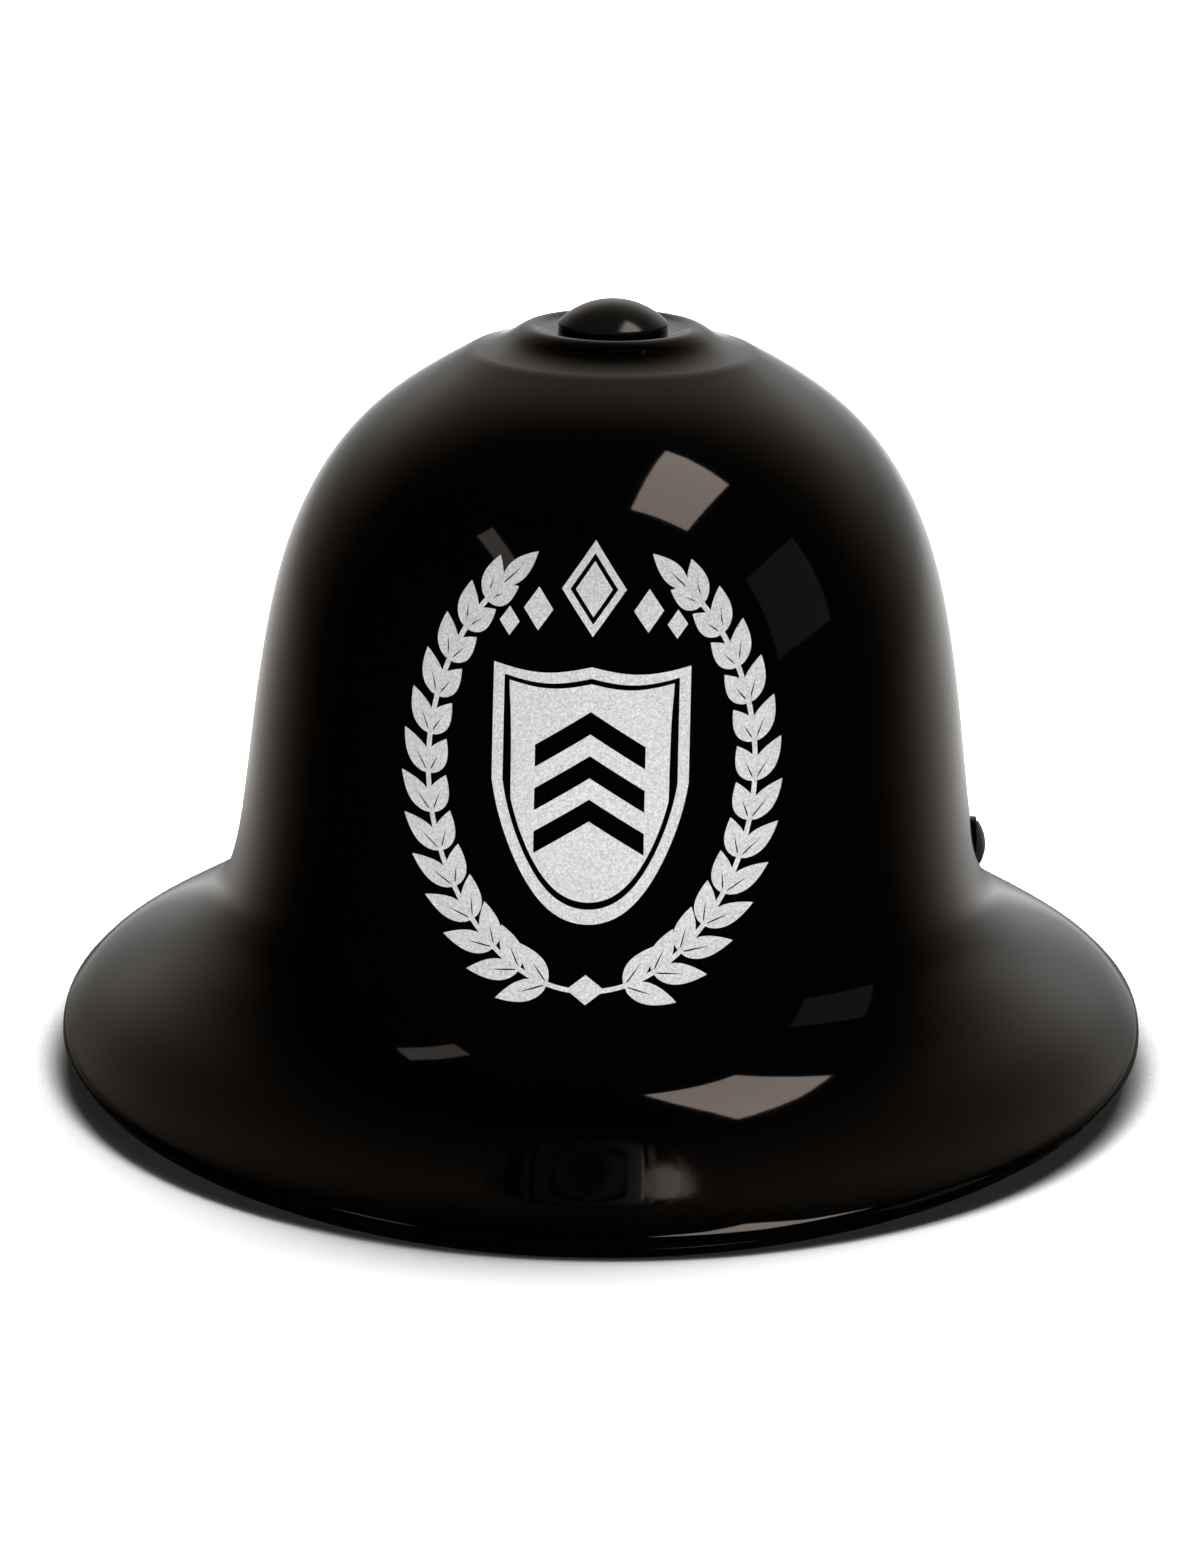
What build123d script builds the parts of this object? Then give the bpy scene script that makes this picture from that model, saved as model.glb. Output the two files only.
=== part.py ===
from build123d import *
from math import asin, atan2, ceil, cos, degrees, hypot, pi, radians, sin, tan
import os

# A moulded custodian helmet with its harness, nape adjuster and chin strap. Lengths are millimetres.
# The brim rests on Z = 0 with its centre at the origin. Front is -Y and the wearer's left is +X.
os.makedirs("parts", exist_ok=True)

# Driving sizes of the helmet
brim_length = 300.0
brim_width_share = 0.88
brim_width = brim_length * brim_width_share
brim_dip = 7.5
dome_height = 173.0
dome_setback = 11.6
shell_wall = 2.2

# Clearances and overrun that the pieces share
seat_gap = 0.3
running_gap = 0.08
overrun = 1.0

# The shell's outer sections: height, half width, half length and setback,
# as shares of dome_height, half brim_width, half brim_length and dome_setback.
section_shares = (
    (-0.040, 1.150, 1.052, 0.000),
    (-0.012, 1.105, 1.034, 0.000),
    (0.024, 1.060, 0.998, 0.022),
    (0.061, 1.010, 0.938, 0.493),
    (0.104, 0.950, 0.859, 0.980),
    (0.140, 0.864, 0.806, 1.125),
    (0.183, 0.771, 0.761, 1.059),
    (0.226, 0.717, 0.732, 0.986),
    (0.275, 0.693, 0.718, 0.960),
    (0.354, 0.675, 0.700, 1.000),
    (0.464, 0.658, 0.683, 1.000),
    (0.592, 0.634, 0.658, 1.000),
    (0.720, 0.594, 0.615, 1.000),
    (0.824, 0.531, 0.544, 1.000),
    (0.903, 0.446, 0.446, 1.000),
    (0.958, 0.350, 0.333, 1.000),
    (1.000, 0.261, 0.230, 1.000),
)


def bell(inset):
    """Sections of the bell-shaped shell, moved inwards by inset, square to the surface."""
    sections = []
    last = len(section_shares) - 1
    for index, (height, width, length, setback) in enumerate(section_shares):
        below = section_shares[max(index - 1, 0)]
        above = section_shares[min(index + 1, last)]
        rise = (above[0] - below[0]) * dome_height
        draw_in = ((below[1] - above[1]) * brim_width + (below[2] - above[2]) * brim_length) / 4
        square = hypot(rise, draw_in)
        side = inset * rise / square
        down = inset * draw_in / square
        sections.append(
            (
                height * dome_height - down,
                width * brim_width / 2 - side,
                length * brim_length / 2 - side,
                setback * dome_setback,
            )
        )
    return sections


def bell_form(inset):
    """The bell lofted through its sections and trimmed upright at the brim's outline, inset from it."""
    with BuildPart() as form:
        for height, half_width, half_length, setback in bell(inset):
            with BuildSketch(Plane.XY.offset(height)):
                with BuildLine():
                    EllipticalCenterArc((0, setback), half_width, half_length, 90, arc_size=360)
                make_face()
        loft()
        with BuildSketch(Plane.XY.offset(bell(inset)[0][0])):
            with BuildLine():
                EllipticalCenterArc((0, 0), brim_width / 2 - inset, brim_length / 2 - inset, 90, arc_size=360)
            make_face()
        extrude(amount=2 * dome_height, mode=Mode.INTERSECT)
    return form.part


def oval_ends(half_width, half_length, end_radius):
    """Centre distances of a four-arc oval: of its end arcs along Y, and of its side arcs along X."""
    end_centre = half_length - end_radius
    spare = half_width - end_radius
    side_centre = (end_centre**2 - spare**2) / (2 * spare)
    return end_centre, side_centre


def oval_face(half_width, half_length, end_radius):
    """A four-arc oval, long way along Y."""
    end_centre, side_centre = oval_ends(half_width, half_length, end_radius)
    side_radius = half_width + side_centre
    turn = degrees(atan2(end_centre, side_centre))
    with BuildSketch() as face:
        with BuildLine():
            CenterArc((-side_centre, 0), side_radius, -turn, 2 * turn)
            CenterArc((0, end_centre), end_radius, turn, 180 - 2 * turn)
            CenterArc((side_centre, 0), side_radius, 180 - turn, 2 * turn)
            CenterArc((0, -end_centre), end_radius, 180 + turn, 180 - 2 * turn)
        make_face()
    return face.sketch


def oval_ring(half_width, half_length, end_radius, thickness):
    """The band between an oval and the same oval drawn in by thickness."""
    with BuildSketch() as ring:
        add(oval_face(half_width, half_length, end_radius))
        inner = oval_face(half_width - thickness, half_length - thickness, end_radius - thickness)
        add(inner, mode=Mode.SUBTRACT)
    return ring.sketch


def sector(inner_radius, outer_radius, middle, span):
    """A piece of a ring about the origin, centred on an angle."""
    with BuildSketch() as piece:
        with BuildLine():
            outer = CenterArc((0, 0), outer_radius, middle - span / 2, span)
            inner = CenterArc((0, 0), inner_radius, middle - span / 2, span)
            Line(outer @ 0, inner @ 0)
            Line(outer @ 1, inner @ 1)
        make_face()
    return piece.sketch


# The waist: the shell's narrow ring above the brim, which the harness hangs in
waist_share = section_shares[8]
waist_height = waist_share[0] * dome_height
waist_half_width = waist_share[1] * brim_width / 2
waist_half_length = waist_share[2] * brim_length / 2

# Headband: a springy strip in a four-arc oval, open at the nape
band_side_gap = 13.0
band_end_gap = 12.7
band_end_share = 1.1416
band_drop = 23.6
band_half_width = waist_half_width - band_side_gap
band_half_length = waist_half_length - band_end_gap
band_end_radius = band_end_share * band_half_width**2 / band_half_length
band_thickness = 1.6
band_height = 21.0
band_bottom = waist_height - band_drop
band_setback = 7.5
band_end_angle = 58.0
band_end_centre = oval_ends(band_half_width, band_half_length, band_end_radius)[0]
nape_y = band_setback + band_end_centre

# Harness hangers: each key plugs into a pocket in the shell, in the plane of its crown strap
hanger_width = 18.0
hanger_thickness = 2.4
hanger_angle_at_band = 33.0
hanger_x = band_end_radius * cos(radians(hanger_angle_at_band))
hanger_run = band_end_centre + band_end_radius * sin(radians(hanger_angle_at_band))
hanger_direction = degrees(atan2(hanger_run, hanger_x))
hanger_reach = hypot(hanger_run, hanger_x) + seat_gap
key_height = 11.0
key_bottom = band_bottom + band_height + seat_gap
pocket_wall = 2.2
peg_height = band_bottom + band_height / 2
pocket_bottom = key_bottom + hanger_thickness + seat_gap
pocket_top = key_bottom + hanger_thickness + key_height + seat_gap + pocket_wall
hanger_directions = {
    "rear_left": hanger_direction,
    "rear_right": 180 - hanger_direction,
    "front_right": 180 + hanger_direction,
    "front_left": -hanger_direction,
}


def upright(direction, height):
    """An upright plane through the headband's centre: X runs outwards and Y up."""
    turn = radians(direction)
    return Plane(
        origin=(0, band_setback, height),
        x_dir=(cos(turn), sin(turn), 0),
        z_dir=(sin(turn), -cos(turn), 0),
    )


# Dished collar on the crown, where the button sits
collar_radius = 19.4
collar_rise = 5.9
collar_flank_radius = 24.6
collar_flank_rise = 3.1
collar_crest_round = 1.3
dish_depth = 1.0
dish_radius = 15.6
crown_radius = section_shares[-1][1] * brim_width / 2 - seat_gap
crown_plane = Plane(origin=(0, dome_setback, 0), x_dir=(1, 0, 0), z_dir=(0, -1, 0))
crown_axis = Axis((0, dome_setback, 0), (0, 0, 1))
dish_height = dome_height + collar_rise - dish_depth
lip_round = 2.4

# Button: a domed plug in the dish, held by a push-on ring under the crown
button_radius = 13.2
button_rise = 7.2
button_edge = 1.6
stem_radius = 3.0
stem_length = 7.0
retainer_radius = 7.0
retainer_thickness = 1.2

# Chin strap rivets: their shanks are the axis that the strap swings on
rivet_setback = 11.0
rivet_height = waist_height
rivet_seat_x = waist_half_width
rivet_head_radius = 5.8
rivet_head_rise = 2.4
rivet_shank_radius = 2.0
rivet_pad_radius = 7.0
stud_end_x = rivet_seat_x - 0.75 * shell_wall
anchor_y = dome_setback + rivet_setback

# Chin strap: webbing in half a four-arc oval, stowed backwards under the harness
strap_side_gap = 6.6
strap_end_gap = 4.7
strap_end_share = 0.707
strap_half_width = waist_half_width - strap_side_gap
strap_length = waist_half_length - strap_end_gap
strap_end_radius = strap_half_width * strap_end_share
strap_thickness = 1.6
strap_width = 19.0
strap_start = 9.0
tab_thickness = 1.6
tab_width = 14.0
tab_length = 24.0
tab_nose = 7.0
cup_thickness = 2.6
cup_width = 23.0
cup_span = 56.0
cup_corner_round = 7.0
floor_gap = 0.5
pad_inner_x = strap_half_width + tab_thickness + seat_gap
stow_reach = hypot(strap_length + cup_thickness, cup_width / 2)
stow_angle = degrees(
    asin((rivet_height - floor_gap) / stow_reach) - atan2(cup_width / 2, strap_length + cup_thickness)
)
strap_run = (0, cos(radians(stow_angle)), -sin(radians(stow_angle)))
strap_normal = (0, sin(radians(stow_angle)), cos(radians(stow_angle)))
strap_plane = Plane(origin=(0, anchor_y, rivet_height), x_dir=(1, 0, 0), z_dir=strap_normal)


def rivet_pad_plane(side, distance):
    """A plane across the rivets' axis, at a distance out from the middle, facing outwards."""
    return Plane(origin=(side * distance, anchor_y, rivet_height), x_dir=(0, 1, 0), z_dir=(side, 0, 0))


with BuildPart() as outer_form:
    add(bell_form(0))
    shoulder = edges().filter_by(lambda edge: edge.bounding_box().size.X > brim_width - shell_wall)
    fillet(shoulder.sort_by(Axis.Z)[-1], lip_round)
    with BuildSketch(crown_plane):
        with BuildLine():
            Polyline(
                (0, dome_height - shell_wall),
                (0, dish_height),
                (dish_radius, dish_height),
                (collar_radius, dome_height + collar_rise),
            )
            ThreePointArc(
                (collar_radius, dome_height + collar_rise),
                (collar_flank_radius, dome_height + collar_flank_rise),
                (crown_radius, dome_height),
            )
            Polyline(
                (crown_radius, dome_height),
                (crown_radius, dome_height - shell_wall),
                (0, dome_height - shell_wall),
            )
        make_face()
        crest_height = dome_height + collar_rise
        crest = vertices().filter_by_position(Axis.Z, crest_height, crest_height)
        fillet(crest, collar_crest_round)
    revolve(axis=crown_axis)

with BuildPart() as inner_form:
    add(bell_form(shell_wall))
    ceiling = bell(shell_wall)[-1]
    with BuildSketch(crown_plane):
        with BuildLine():
            Polyline(
                (0, ceiling[0] - shell_wall),
                (0, dish_height - shell_wall),
                (collar_radius - shell_wall, dish_height - shell_wall),
                (ceiling[1] - seat_gap, ceiling[0]),
                (ceiling[1] - seat_gap, ceiling[0] - shell_wall),
                close=True,
            )
        make_face()
    revolve(axis=crown_axis)

# Pockets for the hanger keys: an inner wall and two cheeks that grow out of the shell's wall
with BuildPart() as pockets:
    slot_inner = hanger_reach - seat_gap / 2
    for direction in hanger_directions.values():
        with BuildSketch(upright(direction, 0)):
            with Locations((slot_inner - pocket_wall, pocket_bottom)):
                Rectangle(brim_width / 4, pocket_top - pocket_bottom, align=(Align.MIN, Align.MIN))
        extrude(amount=hanger_width / 2 + seat_gap + pocket_wall, both=True)
    for direction in hanger_directions.values():
        with BuildSketch(upright(direction, 0)):
            with Locations((slot_inner, pocket_bottom - overrun)):
                Rectangle(
                    hanger_thickness + seat_gap,
                    pocket_top - pocket_wall - pocket_bottom + overrun,
                    align=(Align.MIN, Align.MIN),
                )
        extrude(amount=hanger_width / 2 + seat_gap, both=True, mode=Mode.SUBTRACT)
    for side in (1, -1):
        with BuildSketch(rivet_pad_plane(side, pad_inner_x)):
            Circle(rivet_pad_radius)
        extrude(amount=rivet_pad_radius)
    add(outer_form.part, mode=Mode.INTERSECT)

with BuildPart() as shell:
    add(outer_form.part)
    add(inner_form.part, mode=Mode.SUBTRACT)
    add(pockets.part)
    with BuildSketch(rivet_pad_plane(1, pad_inner_x)):
        Circle(rivet_pad_radius)
    extrude(amount=rivet_seat_x - pad_inner_x)
    with BuildSketch(rivet_pad_plane(1, rivet_seat_x)):
        Circle(rivet_pad_radius)
    extrude(amount=rivet_pad_radius, mode=Mode.SUBTRACT)
    for side, bore_end in ((1, rivet_seat_x + overrun), (-1, stud_end_x + running_gap)):
        with BuildSketch(rivet_pad_plane(side, pad_inner_x - overrun)):
            Circle(rivet_shank_radius + running_gap)
        extrude(amount=bore_end - pad_inner_x + overrun, mode=Mode.SUBTRACT)
    with BuildSketch(Plane(origin=(0, dome_setback, dome_height))):
        Circle(stem_radius + running_gap)
    extrude(amount=collar_rise, mode=Mode.SUBTRACT)
    half_cut = brim_width / 2 + overrun
    cut_rise = brim_dip * (2 * half_cut / brim_width) ** 2
    with BuildSketch(Plane.XZ):
        with BuildLine():
            rim = ThreePointArc((-half_cut, cut_rise), (0, -running_gap), (half_cut, cut_rise))
            Polyline(rim @ 1, (half_cut, -dome_height), (-half_cut, -dome_height), rim @ 0)
        make_face()
    extrude(amount=brim_length, both=True, mode=Mode.SUBTRACT)
    split(bisect_by=Plane.XY, keep=Keep.TOP)
shell.part.label = "shell"
export_step(shell.part, "parts/shell.step")

with BuildPart() as top_button:
    with BuildSketch(crown_plane):
        with BuildLine():
            edge_height = dish_height + running_gap + button_edge
            peak = (0, dish_height + button_rise)
            dome = RadiusArc(
                peak,
                (button_radius, edge_height),
                (button_radius**2 + (peak[1] - edge_height) ** 2) / (2 * (peak[1] - edge_height)),
            )
            Polyline(
                dome @ 1,
                (button_radius, dish_height + running_gap),
                (stem_radius, dish_height + running_gap),
                (stem_radius, dish_height - stem_length),
                (0, dish_height - stem_length),
                dome @ 0,
            )
        make_face()
    revolve(axis=crown_axis)
top_button.part.label = "top_button"
export_step(top_button.part, "parts/top_button.step")

with BuildPart() as button_retainer:
    with BuildSketch(Plane(origin=(0, dome_setback, dish_height - shell_wall - running_gap))):
        Circle(retainer_radius)
        Circle(stem_radius, mode=Mode.SUBTRACT)
    extrude(amount=-retainer_thickness)
    chamfer(button_retainer.edges().group_by(Axis.Z)[0].sort_by(SortBy.RADIUS)[-1], retainer_thickness / 2)
button_retainer.part.label = "button_retainer"
export_step(button_retainer.part, "parts/button_retainer.step")

# Rivets: the strap's tabs turn on their shanks. The left one has a domed head outside and is clinched
# inside; the right one is a stud pressed into a blind hole from inside.
washer_radius = 5.5
washer_thickness = 1.0
clinch_radius = 3.4
clinch_thickness = 0.8
rivet_head_edge = 0.5
stud_head_radius = 4.2
stud_head_rise = 1.4
washer_x = strap_half_width - seat_gap - washer_thickness
rivet_plane = Plane(origin=(0, anchor_y, rivet_height), x_dir=(1, 0, 0), z_dir=(0, -1, 0))
rivet_axis = Axis((0, anchor_y, rivet_height), (1, 0, 0))

with BuildPart() as left_rivet:
    with BuildSketch(rivet_plane):
        with BuildLine():
            rim_x = rivet_seat_x + rivet_head_edge
            top_x = rivet_seat_x + rivet_head_rise
            dome_rise = top_x - rim_x
            head = RadiusArc(
                (top_x, 0), (rim_x, rivet_head_radius), -(rivet_head_radius**2 + dome_rise**2) / (2 * dome_rise)
            )
            Polyline(
                head @ 1,
                (rivet_seat_x, rivet_head_radius),
                (rivet_seat_x, rivet_shank_radius),
                (washer_x, rivet_shank_radius),
                (washer_x, clinch_radius),
                (washer_x - clinch_thickness, clinch_radius),
                (washer_x - clinch_thickness, 0),
                head @ 0,
            )
        make_face()
    revolve(axis=rivet_axis)

left_rivet.part.label = "left_rivet"
export_step(left_rivet.part, "parts/left_rivet.step")

with BuildPart() as right_rivet:
    with BuildSketch(rivet_plane):
        with BuildLine():
            cap = RadiusArc(
                (-washer_x + clinch_thickness + stud_head_rise, 0),
                (-washer_x + clinch_thickness, stud_head_radius),
                (stud_head_radius**2 + stud_head_rise**2) / (2 * stud_head_rise),
            )
            Polyline(
                cap @ 1,
                (-washer_x, stud_head_radius),
                (-washer_x, rivet_shank_radius),
                (-stud_end_x, rivet_shank_radius),
                (-stud_end_x, 0),
                cap @ 0,
            )
        make_face()
    revolve(axis=rivet_axis)
right_rivet.part.label = "right_rivet"
export_step(right_rivet.part, "parts/right_rivet.step")

with BuildPart() as left_rivet_washer:
    with BuildSketch(Plane(origin=(washer_x, anchor_y, rivet_height), x_dir=(0, 1, 0), z_dir=(1, 0, 0))):
        Circle(washer_radius)
        Circle(rivet_shank_radius, mode=Mode.SUBTRACT)
    extrude(amount=washer_thickness)

# Chin strap: webbing, riveted end tabs, a chin cup and a slider that takes up the slack
strap_side_centre = oval_ends(strap_half_width, strap_length, strap_end_radius)[1]
strap_side_radius = strap_half_width + strap_side_centre
left_side_plane = Plane(
    origin=(-strap_side_centre, anchor_y, rivet_height), x_dir=(1, 0, 0), z_dir=strap_normal
)

with BuildPart() as left_strap_tab:
    with BuildSketch(left_side_plane):
        add(
            sector(
                strap_side_radius,
                strap_side_radius + tab_thickness,
                degrees((tab_length - tab_nose) / 2 / strap_side_radius),
                degrees((tab_length + tab_nose) / strap_side_radius),
            )
        )
    extrude(amount=tab_width / 2, both=True)
    corners = edges().group_by(SortBy.LENGTH)[0]
    fillet(corners, tab_width / 2 - overrun)
    hole_plane = Plane(
        origin=(strap_half_width - tab_thickness, anchor_y, rivet_height), x_dir=(0, 1, 0), z_dir=(1, 0, 0)
    )
    with BuildSketch(hole_plane):
        Circle(rivet_shank_radius + running_gap)
    extrude(amount=3 * tab_thickness, mode=Mode.SUBTRACT)

with BuildPart() as chin_strap:
    with BuildSketch(strap_plane):
        add(oval_ring(strap_half_width, strap_length, strap_end_radius, strap_thickness))
        with Locations((0, strap_start)):
            Rectangle(
                2 * strap_half_width, strap_length, align=(Align.CENTER, Align.MIN), mode=Mode.INTERSECT
            )
    extrude(amount=strap_width / 2, both=True)
chin_strap.part.label = "chin_strap"
export_step(chin_strap.part, "parts/chin_strap.step")

with BuildPart() as chin_cup:
    with BuildSketch(strap_plane):
        add(
            oval_ring(
                strap_half_width + cup_thickness,
                strap_length + cup_thickness,
                strap_end_radius + cup_thickness,
                cup_thickness + strap_thickness + seat_gap,
            )
        )
        with Locations((0, strap_length / 2)):
            Rectangle(cup_span, strap_length, align=(Align.CENTER, Align.MIN), mode=Mode.INTERSECT)
    extrude(amount=cup_width / 2, both=True)
    fillet(edges().filter_by(Axis((0, 0, 0), strap_run)), cup_corner_round)
    with BuildSketch(strap_plane):
        add(
            oval_ring(
                strap_half_width + seat_gap,
                strap_length + seat_gap,
                strap_end_radius + seat_gap,
                strap_thickness + 2 * seat_gap + overrun,
            )
        )
    extrude(amount=strap_width / 2 + seat_gap, both=True, mode=Mode.SUBTRACT)
chin_cup.part.label = "chin_cup"
export_step(chin_cup.part, "parts/chin_cup.step")

slider_angle = 35.0
slider_length = 15.0
slider_wall = 1.6
slider_bar = 3.0
slider_inner = strap_side_radius - strap_thickness - seat_gap - slider_wall
slider_outer = strap_side_radius + seat_gap + slider_wall
slider_span = degrees(slider_length / strap_side_radius)
slot_span = degrees((slider_length / 2 - 1.5 * slider_bar / 2 - slider_wall) / strap_side_radius)

with BuildPart() as strap_slider:
    with BuildSketch(left_side_plane):
        add(sector(slider_inner, slider_outer, slider_angle, slider_span))
    extrude(amount=strap_width / 2 + seat_gap + slider_wall, both=True)
    fillet(edges().group_by(SortBy.LENGTH)[0], slider_bar)
    with BuildSketch(left_side_plane):
        add(sector(slider_inner + slider_wall, slider_outer - slider_wall, slider_angle, 2 * slider_span))
        for side in (1, -1):
            slot_middle = slider_angle + side * (slider_span - slot_span) / 3
            add(sector(strap_side_radius, slider_outer + overrun, slot_middle, slot_span))
    extrude(amount=strap_width / 2 + seat_gap, both=True, mode=Mode.SUBTRACT)
strap_slider.part.label = "strap_slider"
export_step(strap_slider.part, "parts/strap_slider.step")

# The right side's washer and tab are mirror images of the left side's
for name, left_piece in (("rivet_washer", left_rivet_washer), ("strap_tab", left_strap_tab)):
    left_piece.part.label = f"left_{name}"
    export_step(left_piece.part, f"parts/left_{name}.step")
    with BuildPart() as right_piece:
        add(left_piece.part)
        mirror(about=Plane.YZ, mode=Mode.REPLACE)
    right_piece.part.label = f"right_{name}"
    export_step(right_piece.part, f"parts/right_{name}.step")

# Nape adjuster, in layers about the centre of the headband's rear arc: the housing's inner plate,
# the left rack, the right rack, the cover and the knob. The knob's pinion draws both racks in.
rack_thickness = 1.4
rack_height = 18.0
rack_gap = 0.3
rack_travel_angle = 170.0
rack_root_angle = 41.5
rack_overlap = 12.0
rack_end_rail = 3.0
rack_centre = band_bottom + band_height / 2
left_rack_radius = band_end_radius + rack_gap
right_rack_radius = left_rack_radius + rack_thickness + rack_gap
channel_outer = right_rack_radius + rack_thickness + rack_gap
keeper_wall = 1.4
keeper_span = 4.0
housing_span = 48.0
housing_wall = 1.5
cover_thickness = 1.8
tooth_count = 12
tooth_module = 1.0
tooth_addendum = 0.9
tooth_dedendum = 1.2
tooth_backlash = 0.2
pressure_angle = 20.0
pitch_radius = tooth_count * tooth_module / 2
tooth_pitch = pi * tooth_module
window_root = pitch_radius + tooth_dedendum
window_clear = window_root + running_gap
tan_pressure = tan(radians(pressure_angle))
tooth_tip = pitch_radius - tooth_addendum
rack_travel = pitch_radius * radians(rack_travel_angle)
window_length = rack_travel + 2 * (rack_overlap - rack_end_rail)


def nape_plane(direction, radius, height):
    """A plane that faces outwards from the nape's centre: Y up, at a direction, radius and height."""
    turn = radians(direction)
    return Plane(
        origin=(radius * cos(turn), nape_y + radius * sin(turn), height),
        x_dir=(-sin(turn), cos(turn), 0),
        z_dir=(cos(turn), sin(turn), 0),
    )


def nape_ring(inner_radius, outer_radius, middle, span, bottom, height):
    """A piece of a ring about the nape's centre."""
    with BuildPart() as ring:
        with BuildSketch(Plane(origin=(0, nape_y, bottom))):
            add(sector(inner_radius, outer_radius, middle, span))
        extrude(amount=height)
    return ring.part


def rack(inner_radius, side, toothed_edge):
    """One toothed tail of the headband: side is 1 for the wearer's left, toothed_edge 1 for the top."""
    middle_radius = inner_radius + rack_thickness / 2

    def angle(arc):
        return 90 - side * degrees(arc / middle_radius)

    tip = angle(-rack_overlap)
    root = 90 - side * (90 - rack_root_angle)
    window_start = rack_end_rail - rack_overlap
    window_middle = angle(window_start + window_length / 2)
    low = window_root if toothed_edge < 0 else window_clear
    high = window_root if toothed_edge > 0 else window_clear
    outer_radius = inner_radius + rack_thickness
    bottom = rack_centre - rack_height / 2
    flank = tan_pressure * tooth_dedendum
    half_tooth = tooth_pitch / 4 - tooth_backlash / 2
    with BuildPart() as strip:
        add(nape_ring(inner_radius, outer_radius, (tip + root) / 2, abs(root - tip), bottom, rack_height))
        fillet(edges().group_by(SortBy.LENGTH)[0], rack_end_rail - overrun)
        window = nape_ring(
            inner_radius - overrun,
            outer_radius + overrun,
            window_middle,
            degrees(window_length / middle_radius),
            rack_centre - low,
            low + high,
        )
        add(window, mode=Mode.SUBTRACT)
        first = ceil(window_start / tooth_pitch - 1 / 2) + 1
        last = int((window_start + window_length) / tooth_pitch - 1 / 2)
        for number in range(first, last):
            direction = angle((number + 1 / 2) * tooth_pitch)
            with BuildSketch(nape_plane(direction, inner_radius, rack_centre)):
                with BuildLine():
                    Polyline(
                        (-half_tooth - flank, toothed_edge * (window_root + rack_gap)),
                        (-half_tooth - flank, toothed_edge * window_root),
                        (-half_tooth + tan_pressure * tooth_addendum, toothed_edge * tooth_tip),
                        (half_tooth - tan_pressure * tooth_addendum, toothed_edge * tooth_tip),
                        (half_tooth + flank, toothed_edge * window_root),
                        (half_tooth + flank, toothed_edge * (window_root + rack_gap)),
                        close=True,
                    )
                make_face()
            extrude(amount=rack_thickness)
    return strip


left_rack = rack(left_rack_radius, 1, -1)
left_rack.part.label = "left_rack"
export_step(left_rack.part, "parts/left_rack.step")
right_rack = rack(right_rack_radius, -1, 1)
right_rack.part.label = "right_rack"
export_step(right_rack.part, "parts/right_rack.step")

# Pinion and spindle: the gear turns between the plates, and the square end drives the knob
journal_radius = 2.5
spindle_radius = 3.5
square_size = 5.0
knob_radius = 11.5
knob_depth = 6.4
knob_gap = 0.5
knob_floor = 2.2
knob_wall = 1.3
knob_boss_radius = 4.8
flute_count = 18
flute_radius = 1.1
screw_radius = 1.4
screw_head_radius = 2.8
screw_head_depth = 1.4
screw_length = 7.0
edge_round = 0.5
tooth_root_radius = pitch_radius - tooth_dedendum
tooth_outer_radius = pitch_radius + tooth_addendum
knob_inner = channel_outer + cover_thickness + knob_gap
knob_outer = knob_inner + knob_depth
spindle_end = knob_outer - knob_floor
pawl_thickness = 1.2
# Half angles of a pinion tooth at its root, waist, pitch circle and tip, in degrees
tooth_outline_shares = ((0.0, 5.6), (0.4, 6.3), (0.62, 5.6), (1.0, 1.9))

with BuildPart() as ratchet_pinion:
    cover_sag = channel_outer - (channel_outer**2 - tooth_outer_radius**2) ** 0.5
    gear_length = channel_outer - cover_sag - band_end_radius - 2 * running_gap
    with BuildSketch(nape_plane(90, band_end_radius + running_gap, rack_centre)):
        Circle(tooth_root_radius)
        with PolarLocations(0, tooth_count):
            with BuildLine():
                flank_points = []
                for depth, half_angle in tooth_outline_shares:
                    radius = tooth_root_radius - running_gap
                    radius += depth * (tooth_outer_radius - tooth_root_radius + running_gap)
                    turn = radians(half_angle)
                    flank_points.append((radius * cos(turn), radius * sin(turn)))
                mirrored = [(x, -y) for x, y in reversed(flank_points)]
                Polyline(*flank_points, *mirrored, close=True)
            make_face()
    extrude(amount=gear_length)
    with BuildSketch(nape_plane(90, band_end_radius + running_gap, rack_centre)):
        Circle(journal_radius)
    extrude(amount=-band_thickness)
    with BuildSketch(nape_plane(90, channel_outer - cover_sag - running_gap, rack_centre)):
        Circle(spindle_radius)
    extrude(amount=cover_thickness + cover_sag + running_gap)
    with BuildSketch(nape_plane(90, channel_outer + cover_thickness, rack_centre)):
        Rectangle(square_size, square_size)
    extrude(amount=spindle_end - channel_outer - cover_thickness)
    with BuildSketch(nape_plane(90, spindle_end, rack_centre)):
        Circle(screw_radius + running_gap)
    extrude(amount=-screw_length, mode=Mode.SUBTRACT)
ratchet_pinion.part.label = "ratchet_pinion"
export_step(ratchet_pinion.part, "parts/ratchet_pinion.step")

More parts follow.
